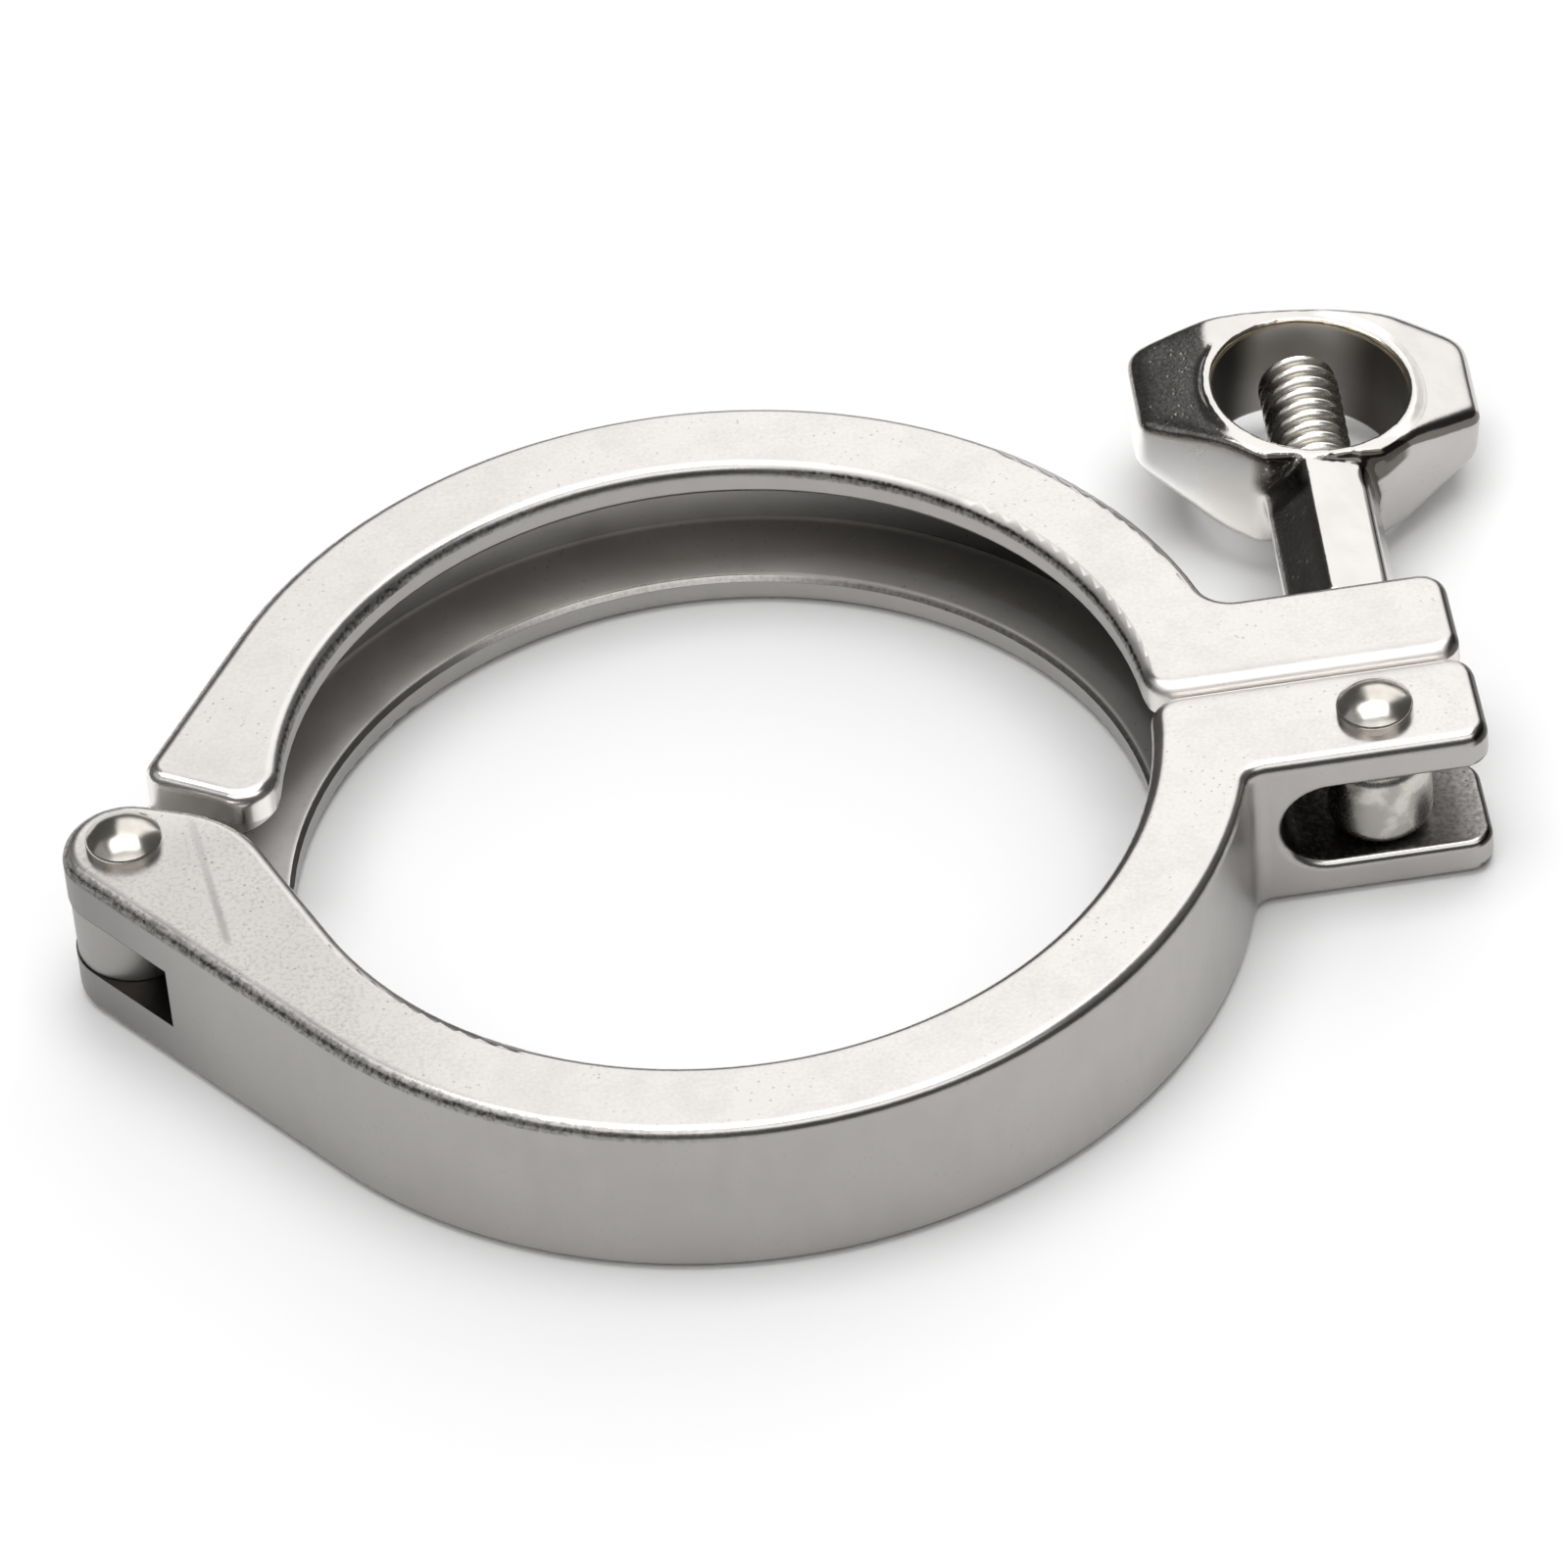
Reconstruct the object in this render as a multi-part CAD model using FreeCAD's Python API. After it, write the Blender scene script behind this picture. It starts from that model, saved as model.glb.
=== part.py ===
import FreeCAD, Part
import math
import os

# Single-pin pipe clamp for tube ferrules: two hinged cast half rings with a V-groove,
# closed by an eye bolt and a wing nut. Millimetres.
# Origin at the centre of the ring, half way up. +Z is the pipe's axis, +X points along
# the split to the bolt lugs, and +Y to the jaw that the nut presses on.

Vec = FreeCAD.Vector
UP = Vec(0, 0, 1)

# Ring, the same on both jaws
ring_height = 18.0
lip_radius = 42.0
ring_depth = 9.5
split_gap = 0.5
edge_round = 1.4
ring_outer_radius = lip_radius + ring_depth

# V-groove that draws the two ferrules together
groove_wall = 2.9
groove_root_width = 6.6
groove_angle = 20.0
groove_lip_chamfer = 0.4
groove_runout = 2.0
groove_root_radius = ring_outer_radius - groove_wall

# Hinge
hinge_pin_offset = 5.5
hinge_pin_y = -0.2
ear_radius = 6.1
ear_shoulder_angle = 67.0
ear_shoulder_round = 12.5
ear_lip_angle = 22.0
clevis_gap = 7.2
clevis_reach = 13.0
tongue_clearance = 0.1
knuckle_radius = 5.9
tongue_root_round = 2.6
tongue_root_wall = 0.75
tongue_root_angle = 11.5
jaw_end_clearance = 3.2
jaw_end_angle = 58.6
jaw_end_outer_round = 2.2
jaw_end_inner_round = 3.6
jaw_shoulder_angle = 32.3

# Lugs, whose lengths run from the ring's outer radius
front_lug_length = 21.9
rear_lug_length = 21.3
front_lug_depth = 12.5
rear_lug_depth = 12.2
lug_corner_round = 2.6
front_root_round = 2.2
rear_root_round = 3.6
split_corner_round = 3.2
slot_height = 9.6
slot_root_offset = 1.3
slot_edge_round = 0.9

# Rivets, headed on top and peened flush below
rivet_radius = 3.0
rivet_running_clearance = 0.08
rivet_head_radius = 3.7
rivet_head_height = 2.4
rivet_dome_radius = 5.4
rivet_head_round = 0.4
rivet_foot_flare = 0.9

# Swing bolt, whose lengths run from its pin
bolt_pin_offset = 11.6
bolt_pin_y = -6.7
bolt_lean = 1.4
bolt_radius = 4.0
bolt_neck_radius = 3.6
bolt_thread_start = 13.0
bolt_tip_past_centre = 7.1
bolt_tip_chamfer = 0.8
eye_radius = 5.1
eye_side_clearance = 0.3
eye_edge_round = 0.7

# Wing nut, whose length runs from the end of its stem
nut_backed_off = 2.4
nut_roll = -7.0
nut_thread_clearance = 0.1
stem_across_flats = 10.5
stem_turn = 10.0
stem_length = 19.8
neck_flare = 5.0
neck_step = 0.5
stem_edge_round = 0.9
stem_end_chamfer = 0.6
head_thickness = 11.6
window_radius = 9.7
window_centre = 30.8
window_rim_width = 1.2
window_edge_round = 0.5
wing_span = 34.4
wing_tip_start = 28.6
wing_tip_end = 40.2
wing_tip_thickness = 5.8
wing_flat_width = 17.6
wing_crease_round = 8.0
wing_crown = 42.9
wing_corner_round = 1.8
wing_crown_round = 2.6
wing_edge_round = 1.1

# Worked out from the sizes above
half_height = ring_height / 2
split_y = split_gap / 2
front_lug_end_x = ring_outer_radius + front_lug_length
rear_lug_end_x = ring_outer_radius + rear_lug_length
slot_root_x = ring_outer_radius + slot_root_offset
hinge_pin = Vec(-ring_outer_radius - hinge_pin_offset, hinge_pin_y, 0)
bolt_pin = Vec(ring_outer_radius + bolt_pin_offset, bolt_pin_y, 0)
tongue_thickness = clevis_gap - 2 * tongue_clearance
jaw_end_distance = ear_radius + jaw_end_clearance
eye_height = slot_height - 2 * eye_side_clearance
moving_bore_radius = rivet_radius + rivet_running_clearance
stem_corner_radius = stem_across_flats / 2 / math.cos(math.radians(30))
stem_half_height = stem_across_flats / 2
head_half_height = head_thickness / 2
nut_start = rear_lug_depth - bolt_pin_y + nut_backed_off
bolt_length = nut_start + window_centre + bolt_tip_past_centre
beyond = 4 * ring_outer_radius


def polar(radius, degrees, centre=Vec(0, 0, 0)):
    """Gives the point of the XY plane at a radius and an angle about a centre."""
    angle = math.radians(degrees)
    return centre + Vec(radius * math.cos(angle), radius * math.sin(angle), 0)


def line(start, end):
    return Part.LineSegment(start, end).toShape()


def arc(centre, radius, start, end):
    """Gives the arc from one angle to another in degrees, turning either way."""
    points = [polar(radius, degrees, centre) for degrees in (start, (start + end) / 2, end)]
    return Part.Arc(*points).toShape()


def prism(edges, bottom, top):
    """Raises a closed outline of the XY plane into a solid between two heights."""
    face = Part.Face(Part.Wire(Part.__sortEdges__(edges)))
    face.translate(Vec(0, 0, bottom))
    return face.extrude(Vec(0, 0, top - bottom))


def block(x0, x1, y0, y1, z0, z1):
    return Part.makeBox(x1 - x0, y1 - y0, z1 - z0, Vec(x0, y0, z0))


def drum(radius, bottom, top, centre=Vec(0, 0, 0)):
    return Part.makeCylinder(radius, top - bottom, centre + Vec(0, 0, bottom), UP)


def corner_of(normal_a, distance_a, normal_b, distance_b, origin):
    """Gives the point where two straight lines cross, each by its normal and its distance."""
    det = normal_a.x * normal_b.y - normal_a.y * normal_b.x
    x = (distance_a * normal_b.y - distance_b * normal_a.y) / det
    y = (normal_a.x * distance_b - normal_b.x * distance_a) / det
    return origin + Vec(x, y, 0)


def upright_edges(shape, places):
    """Gives the upright edges that stand at the given places of the plan."""
    found = []
    for edge in shape.Edges:
        ends = [vertex.Point for vertex in edge.Vertexes]
        if len(ends) != 2 or abs(ends[0].z - ends[1].z) < 1:
            continue
        if ends[0].sub(ends[1]).cross(UP).Length > 1e-6:
            continue
        here = Vec(ends[0].x, ends[0].y, 0)
        if any(here.sub(place).Length < 0.01 for place in places):
            found.append(edge)
    return found


def edges_at_height(shape, height):
    """Gives the edges that lie all along in one level plane."""
    return [
        edge for edge in shape.Edges
        if abs(edge.BoundBox.ZMin - height) < 1e-4 and abs(edge.BoundBox.ZMax - height) < 1e-4
    ]


def round_outline(shape):
    """Rounds the upper and lower outline of a jaw blank."""
    edges = edges_at_height(shape, half_height) + edges_at_height(shape, -half_height)
    return shape.makeFillet(edge_round, edges)


def groove_cutter():
    """Gives the ring that cuts the V-groove, with its lips broken by a small chamfer."""
    slope = math.tan(math.radians(groove_angle))
    root = groove_root_width / 2
    lip = root + (groove_root_radius - lip_radius) * slope
    inside = lip_radius - groove_runout
    corners = [
        Vec(groove_root_radius, 0, root),
        Vec(lip_radius + groove_lip_chamfer, 0, lip - groove_lip_chamfer * slope),
        Vec(lip_radius, 0, lip + groove_lip_chamfer),
        Vec(inside, 0, lip + groove_lip_chamfer),
    ]
    corners += [Vec(point.x, 0, -point.z) for point in reversed(corners)]
    face = Part.Face(Part.makePolygon(corners + corners[:1]))
    return face.revolve(Vec(0, 0, 0), UP, 360)


def lug_slot():
    """Gives the slot that lets the bolt swing in and out, round at its inner end."""
    radius = slot_height / 2
    root = Part.makeCylinder(radius, beyond, Vec(slot_root_x + radius, -beyond / 2, 0), Vec(0, 1, 0))
    gap = block(slot_root_x + radius, beyond, -beyond / 2, beyond / 2, -radius, radius)
    return root.fuse(gap).removeSplitter()


def slot_rim(shape):
    """Gives the rim edges of a lug's slot, on its two faces and round the open end."""
    radius = slot_height / 2
    rim = []
    for edge in shape.Edges:
        box = edge.BoundBox
        if box.XMin < slot_root_x - 0.1 or max(abs(box.ZMin), abs(box.ZMax)) > radius + 1e-3:
            continue
        level = box.ZMax - box.ZMin < 1e-4
        if level and abs(abs(box.ZMin) - radius) > 1e-3:
            continue
        across = level and box.YMax - box.YMin > lug_corner_round + split_gap and box.XLength < 0.1
        if across and box.XMin < slot_root_x + radius + 0.1:
            continue
        rim.append(edge)
    return rim


def front_jaw():
    """Makes the half ring with the clevis ears and the lug that carries the bolt."""
    lip_end = 180 + ear_lip_angle
    shoulder_normal = polar(1, ear_shoulder_angle)
    lip_normal = polar(1, lip_end - 180)
    shoulder = corner_of(
        shoulder_normal, ear_radius + shoulder_normal.dot(hinge_pin),
        lip_normal, -lip_radius, Vec(0, 0, 0),
    )
    pin_angle = math.degrees(math.atan2(hinge_pin.y, hinge_pin.x)) % 360
    flank = pin_angle + math.degrees(math.acos((ring_outer_radius - ear_radius) / hinge_pin.Length))
    root_angle = -math.degrees(math.asin(front_lug_depth / ring_outer_radius))
    inner_end = -math.degrees(math.asin(split_y / lip_radius))
    lug_root = polar(ring_outer_radius, root_angle)
    split_corner = polar(lip_radius, inner_end)
    lug_front = Vec(front_lug_end_x, -front_lug_depth, 0)
    lug_split = Vec(front_lug_end_x, -split_y, 0)
    blank = prism([
        arc(Vec(0, 0, 0), lip_radius, lip_end, 360 + inner_end),
        line(split_corner, lug_split),
        line(lug_split, lug_front),
        line(lug_front, lug_root),
        arc(Vec(0, 0, 0), ring_outer_radius, 360 + root_angle, flank),
        line(polar(ring_outer_radius, flank), polar(ear_radius, flank, hinge_pin)),
        arc(hinge_pin, ear_radius, flank, ear_shoulder_angle),
        line(polar(ear_radius, ear_shoulder_angle, hinge_pin), shoulder),
        line(shoulder, polar(lip_radius, lip_end)),
    ], -half_height, half_height)
    blank = blank.makeFillet(ear_shoulder_round, upright_edges(blank, [shoulder]))
    blank = blank.makeFillet(split_corner_round, upright_edges(blank, [split_corner]))
    blank = blank.makeFillet(lug_corner_round, upright_edges(blank, [lug_front]))
    blank = blank.makeFillet(lug_corner_round, upright_edges(blank, [lug_split]))
    blank = blank.makeFillet(front_root_round, upright_edges(blank, [lug_root]))
    jaw = round_outline(blank).cut(groove_cutter()).cut(lug_slot())
    jaw = jaw.makeFillet(slot_edge_round, slot_rim(jaw))
    jaw = jaw.cut(drum(clevis_reach, -clevis_gap / 2, clevis_gap / 2, hinge_pin))
    for pin in (hinge_pin, bolt_pin):
        jaw = jaw.cut(rivet_hole(pin))
    return jaw


def rear_jaw():
    """Makes the half ring with the hinge tongue and the lug that the nut presses on."""
    shoulder = 180 - jaw_shoulder_angle
    end_normal = polar(1, jaw_end_angle)
    end_distance = jaw_end_distance + end_normal.dot(hinge_pin)
    outer_corner = corner_of(
        end_normal, end_distance, polar(1, shoulder), ring_outer_radius, Vec(0, 0, 0),
    )
    along = math.degrees(math.acos(end_distance / lip_radius))
    inner_corner = polar(lip_radius, jaw_end_angle + along)
    root_angle = math.degrees(math.asin(rear_lug_depth / ring_outer_radius))
    inner_end = math.degrees(math.asin(split_y / lip_radius))
    lug_root = polar(ring_outer_radius, root_angle)
    split_corner = polar(lip_radius, inner_end)
    lug_back = Vec(rear_lug_end_x, rear_lug_depth, 0)
    lug_split = Vec(rear_lug_end_x, split_y, 0)
    blank = prism([
        arc(Vec(0, 0, 0), lip_radius, jaw_end_angle + along, inner_end),
        line(split_corner, lug_split),
        line(lug_split, lug_back),
        line(lug_back, lug_root),
        arc(Vec(0, 0, 0), ring_outer_radius, root_angle, shoulder),
        line(polar(ring_outer_radius, shoulder), outer_corner),
        line(outer_corner, inner_corner),
    ], -half_height, half_height)
    blank = blank.makeFillet(jaw_end_outer_round, upright_edges(blank, [outer_corner]))
    blank = blank.makeFillet(jaw_end_inner_round, upright_edges(blank, [inner_corner]))
    blank = blank.makeFillet(split_corner_round, upright_edges(blank, [split_corner]))
    blank = blank.makeFillet(lug_corner_round, upright_edges(blank, [lug_back]))
    blank = blank.makeFillet(lug_corner_round, upright_edges(blank, [lug_split]))
    blank = blank.makeFillet(rear_root_round, upright_edges(blank, [lug_root]))
    jaw = round_outline(blank).cut(groove_cutter()).cut(lug_slot())
    jaw = jaw.makeFillet(slot_edge_round, slot_rim(jaw))
    jaw = jaw.fuse(hinge_tongue()).removeSplitter()
    return jaw.cut(drum(moving_bore_radius, -half_height, half_height, hinge_pin))


def hinge_tongue():
    """Makes the knuckle that turns in the clevis, tapering into the end of the rear jaw."""
    root_distance = groove_root_radius + tongue_root_wall + tongue_root_round
    root = polar(root_distance, 180 - tongue_root_angle)
    axis = root.sub(hinge_pin)
    heading = math.degrees(math.atan2(axis.y, axis.x))
    lean = math.degrees(math.acos((knuckle_radius - tongue_root_round) / axis.Length))
    left, right = heading + lean, heading - lean
    return prism([
        arc(hinge_pin, knuckle_radius, left, right + 360),
        line(polar(knuckle_radius, right, hinge_pin), polar(tongue_root_round, right, root)),
        arc(root, tongue_root_round, right, left),
        line(polar(tongue_root_round, left, root), polar(knuckle_radius, left, hinge_pin)),
    ], -tongue_thickness / 2, tongue_thickness / 2)


def rivet(pin):
    """Makes a rivet for both ears of a jaw, with a domed head and a foot peened flush."""
    crown = half_height + rivet_head_height
    shank = drum(rivet_radius, -half_height, half_height + rivet_head_round, pin)
    dome = Part.makeSphere(rivet_dome_radius, pin + Vec(0, 0, crown - rivet_dome_radius))
    head = drum(rivet_head_radius, half_height, crown, pin).common(dome)
    rim = [edge for edge in head.Edges if abs(edge.Length - 2 * math.pi * rivet_head_radius) < 1e-3
           and edge.BoundBox.ZMin > half_height + 1e-3]
    head = head.makeFillet(rivet_head_round, rim)
    return head.fuse([shank, rivet_foot(pin)]).removeSplitter()


def rivet_foot(pin):
    """Gives the flare of a rivet's foot, and of the countersink that it fills."""
    top_radius = rivet_radius
    foot_radius = rivet_radius + rivet_foot_flare
    return Part.makeCone(foot_radius, top_radius, rivet_foot_flare, pin + Vec(0, 0, -half_height), UP)


def rivet_hole(pin):
    """Gives the hole of a rivet through both ears, countersunk for its peened foot."""
    return drum(rivet_radius, -half_height, half_height, pin).fuse(rivet_foot(pin))


def on_bolt(shape):
    """Places a shape drawn along +Y from the origin onto the leaning bolt."""
    shape.rotate(Vec(0, 0, 0), UP, -bolt_lean)
    shape.translate(bolt_pin)
    return shape


def swing_bolt():
    """Makes the eye bolt: a barrel that turns on its rivet, a neck and a threaded shank."""
    barrel = drum(eye_radius, -eye_height / 2, eye_height / 2)
    rims = edges_at_height(barrel, eye_height / 2) + edges_at_height(barrel, -eye_height / 2)
    barrel = barrel.makeFillet(eye_edge_round, rims)
    neck = Part.makeCylinder(bolt_neck_radius, bolt_thread_start, Vec(0, 0, 0), Vec(0, 1, 0))
    thread_length = bolt_length - bolt_thread_start
    thread = Part.makeCylinder(bolt_radius, thread_length, Vec(0, bolt_thread_start, 0), Vec(0, 1, 0))
    tip = [edge for edge in thread.Edges if abs(edge.BoundBox.YMin - bolt_length) < 1e-4]
    root = [edge for edge in thread.Edges if abs(edge.BoundBox.YMax - bolt_thread_start) < 1e-4]
    thread = thread.makeChamfer(bolt_tip_chamfer, tip)
    thread = thread.makeChamfer(bolt_radius - bolt_neck_radius, root)
    bolt = barrel.fuse([neck, thread]).removeSplitter()
    return on_bolt(bolt.cut(drum(moving_bore_radius, -half_height, half_height)))


def head_outline():
    """Gives the plan of the nut's head, with the near and far corners of its wing tips."""
    half_span = wing_span / 2
    right = [
        Vec(stem_corner_radius, stem_length, 0),
        Vec(half_span, wing_tip_start, 0),
        Vec(half_span, wing_tip_end, 0),
    ]
    left = [Vec(-point.x, point.y, 0) for point in reversed(right)]
    crown = Part.Arc(right[-1], Vec(0, wing_crown, 0), left[0]).toShape()
    edges = [line(a, b) for a, b in zip(right, right[1:])] + [crown]
    edges += [line(a, b) for a, b in zip(left, left[1:])] + [line(left[-1], right[0])]
    return edges, (right[1], left[1]), (right[2], left[0])


def head_taper():
    """Gives the block whose thickness falls from the window's rim to the wing tips."""
    half_span = wing_span / 2
    tip = wing_tip_thickness / 2
    flat = wing_flat_width / 2
    side = [Vec(half_span, 0, -tip), Vec(half_span, 0, tip), Vec(flat, 0, head_half_height)]
    section = side + [Vec(-point.x, 0, point.z) for point in reversed(side)]
    section += [Vec(-flat, 0, -head_half_height), Vec(flat, 0, -head_half_height)]
    wedge = Part.Face(Part.makePolygon(section + section[:1])).extrude(Vec(0, 2 * wing_crown, 0))
    creases = [edge for edge in wedge.Edges
               if abs(edge.BoundBox.YLength - 2 * wing_crown) < 1e-3
               and abs(abs(edge.Vertexes[0].X) - flat) < 1e-3]
    return wedge.makeFillet(wing_crease_round, creases)


def hexagon(section_half_height, place):
    """Gives the stem's section at a place along it, with flats turned from the plane of the wings."""
    turns = [math.radians(60 * side) for side in range(7)]
    height = section_half_height / math.sin(math.radians(60))
    section = Part.makePolygon([
        Vec(stem_corner_radius * math.cos(turn), place, height * math.sin(turn)) for turn in turns
    ])
    section.rotate(Vec(0, 0, 0), Vec(0, 1, 0), stem_turn)
    return section


def nut_stem():
    """Makes the hexagonal stem, which deepens at its neck to the thickness of the head."""
    neck = stem_length - neck_flare
    sections = [hexagon(stem_half_height, neck * step / 3) for step in range(4)]
    sections.append(hexagon(head_half_height - neck_step, stem_length + window_rim_width / 2))
    stem = Part.makeLoft(sections, True, False)
    ridges = [edge for edge in stem.Edges if edge.BoundBox.YLength > 0.9 * stem_length]
    stem = stem.makeFillet(stem_edge_round, ridges)
    along = Vec(0, 1, 0)
    blank = Part.makeCylinder(2 * stem_corner_radius, stem_end_chamfer, Vec(0, 0, 0), along)
    point = stem_corner_radius - stem_end_chamfer
    cone = Part.makeCone(point, stem_corner_radius, stem_end_chamfer, Vec(0, 0, 0), along)
    return stem.cut(blank.cut(cone))


def wing_nut():
    """Makes the cast nut: hexagonal stem, tapering wings and a round window."""
    edges, near, far = head_outline()
    head = prism(edges, -head_half_height, head_half_height)
    head = head.makeFillet(wing_corner_round, upright_edges(head, near))
    head = head.makeFillet(wing_crown_round, upright_edges(head, far))
    head = head.common(head_taper())
    brims = [edge for edge in head.Edges if is_brim(edge)]
    head = head.makeFillet(wing_edge_round, brims)
    window = Vec(0, window_centre, 0)
    rim = drum(window_radius + window_rim_width, -head_half_height, head_half_height, window)
    nut = head.fuse([rim, nut_stem()]).removeSplitter()
    nut = nut.cut(drum(window_radius, -half_height, half_height, window))
    lips = edges_at_height(nut, head_half_height) + edges_at_height(nut, -head_half_height)
    lips = [edge for edge in lips
            if edge.Curve.TypeId == "Part::GeomCircle" and abs(edge.Curve.Radius - window_radius) < 1e-3]
    nut = nut.makeFillet(window_edge_round, lips)
    bore_radius = bolt_radius + nut_thread_clearance
    nut = nut.cut(Part.makeCylinder(bore_radius, window_centre, Vec(0, 0, 0), Vec(0, 1, 0)))
    nut.rotate(Vec(0, 0, 0), Vec(0, 1, 0), -nut_roll)
    nut.translate(Vec(0, nut_start, 0))
    return on_bolt(nut)


def is_brim(edge):
    """Tells whether an edge of the nut's head runs along its upper or lower outline."""
    box = edge.BoundBox
    one_side = box.ZMin > 0.1 or box.ZMax < -0.1
    crease = box.YLength > 0.6 * (wing_crown - stem_length) and box.ZLength < 1e-3
    return one_side and not crease


pieces = {
    "front_jaw": front_jaw(),
    "rear_jaw": rear_jaw(),
    "hinge_rivet": rivet(hinge_pin),
    "bolt_rivet": rivet(bolt_pin),
    "swing_bolt": swing_bolt(),
    "wing_nut": wing_nut(),
}

os.makedirs("parts", exist_ok=True)
for name, shape in pieces.items():
    shape.exportStep("parts/" + name + ".step")
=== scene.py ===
"""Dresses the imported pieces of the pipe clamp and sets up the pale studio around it.

Lengths are in metres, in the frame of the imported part: +Z runs along the pipe, +X from
the hinge to the bolt lugs, and +Y to the jaw that the wing nut presses on. The finishes
work in millimetres. In them a Span eases a mask from its first value to its second, a
Triple beside a mask is a band's two ends and its softness, and a shade is a share of the
tone's lightness and its warmth.
"""

import logging
import math
from collections.abc import Callable
from dataclasses import dataclass, field
from enum import Enum
from typing import Any

import bpy
from mathutils import Matrix, Vector


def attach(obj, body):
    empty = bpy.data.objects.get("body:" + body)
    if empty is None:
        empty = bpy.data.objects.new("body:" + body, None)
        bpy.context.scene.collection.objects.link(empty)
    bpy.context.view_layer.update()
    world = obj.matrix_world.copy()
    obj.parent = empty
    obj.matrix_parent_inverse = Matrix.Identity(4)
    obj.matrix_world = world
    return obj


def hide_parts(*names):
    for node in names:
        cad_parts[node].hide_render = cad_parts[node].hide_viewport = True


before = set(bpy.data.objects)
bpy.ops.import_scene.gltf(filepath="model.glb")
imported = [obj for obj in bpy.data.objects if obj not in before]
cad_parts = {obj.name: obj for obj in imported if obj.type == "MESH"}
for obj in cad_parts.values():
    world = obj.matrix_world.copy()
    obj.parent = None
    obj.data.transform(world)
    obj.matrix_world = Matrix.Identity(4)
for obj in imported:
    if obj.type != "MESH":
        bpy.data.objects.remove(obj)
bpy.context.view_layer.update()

log = logging.getLogger("clamp")
MM = 0.001
TAU = 2 * math.pi
MEAN = 0.5
Triple = tuple[float, float, float]
Pair = tuple[float, float]
Span = tuple[float, float]
BLACK: Triple = (0.0, 0.0, 0.0)


class Signal:
    """A shader socket whose operators add the Math nodes of an expression."""

    def __init__(self, graph: "Graph", socket: bpy.types.NodeSocket) -> None:
        """Wraps one output socket of a graph."""
        self.graph = graph
        self.socket = socket

    def math(self, operation: str, *others: Any, clamp: bool = False) -> "Signal":
        """Adds a Math node that starts with this signal.

        Args:
            operation: Name of the Math node's operation.
            others: Further operands, as signals or numbers.
            clamp: Whether the result is held between 0 and 1.

        Returns:
            The node's result.
        """
        settings = {"operation": operation, "use_clamp": clamp}
        return self.graph.node("ShaderNodeMath", settings, dict(enumerate((self, *others))))

    def __add__(self, other: Any) -> "Signal":
        """Adds a signal or a number."""
        return self.math("ADD", other)

    __radd__ = __add__

    def __mul__(self, other: Any) -> "Signal":
        """Multiplies by a signal or a number."""
        return self.math("MULTIPLY", other)

    __rmul__ = __mul__

    def __sub__(self, other: Any) -> "Signal":
        """Takes away a signal or a number."""
        return self.math("SUBTRACT", other)

    def __rsub__(self, other: Any) -> "Signal":
        """Takes this signal away from a number."""
        return self * -1.0 + other

    def __pow__(self, other: Any) -> "Signal":
        """Raises to a power."""
        return self.math("POWER", other)

    def __abs__(self) -> "Signal":
        """Drops the sign."""
        return self.math("ABSOLUTE")

    def held(self) -> "Signal":
        """Holds the signal between 0 and 1."""
        return self.math("ADD", 0.0, clamp=True)

    def ease(self, low: float, high: float) -> "Signal":
        """Rises smoothly from 0 at one value to 1 at another, or falls where low is above high.

        Args:
            low: Value at which the result is 0.
            high: Value at which the result is 1.

        Returns:
            The eased signal.
        """
        settings = {"interpolation_type": "SMOOTHSTEP"}
        ends = {"Value": self, "From Min": low, "From Max": high}
        if low > high:
            ends |= {"From Min": high, "From Max": low, "To Min": 1.0, "To Max": 0.0}
        return self.graph.node("ShaderNodeMapRange", settings, ends)

    def band(self, start: float, end: float, soft: float) -> "Signal":
        """Is 1 between two values and falls off softly outside them."""
        return self.ease(start - soft, start + soft) * self.ease(end + soft, end - soft)


@dataclass(frozen=True)
class Noise:
    """A soft noise: its largest features in millimetres, its octaves and their strength."""

    size: float
    detail: float = 2.0
    rough: float = 0.5


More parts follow.
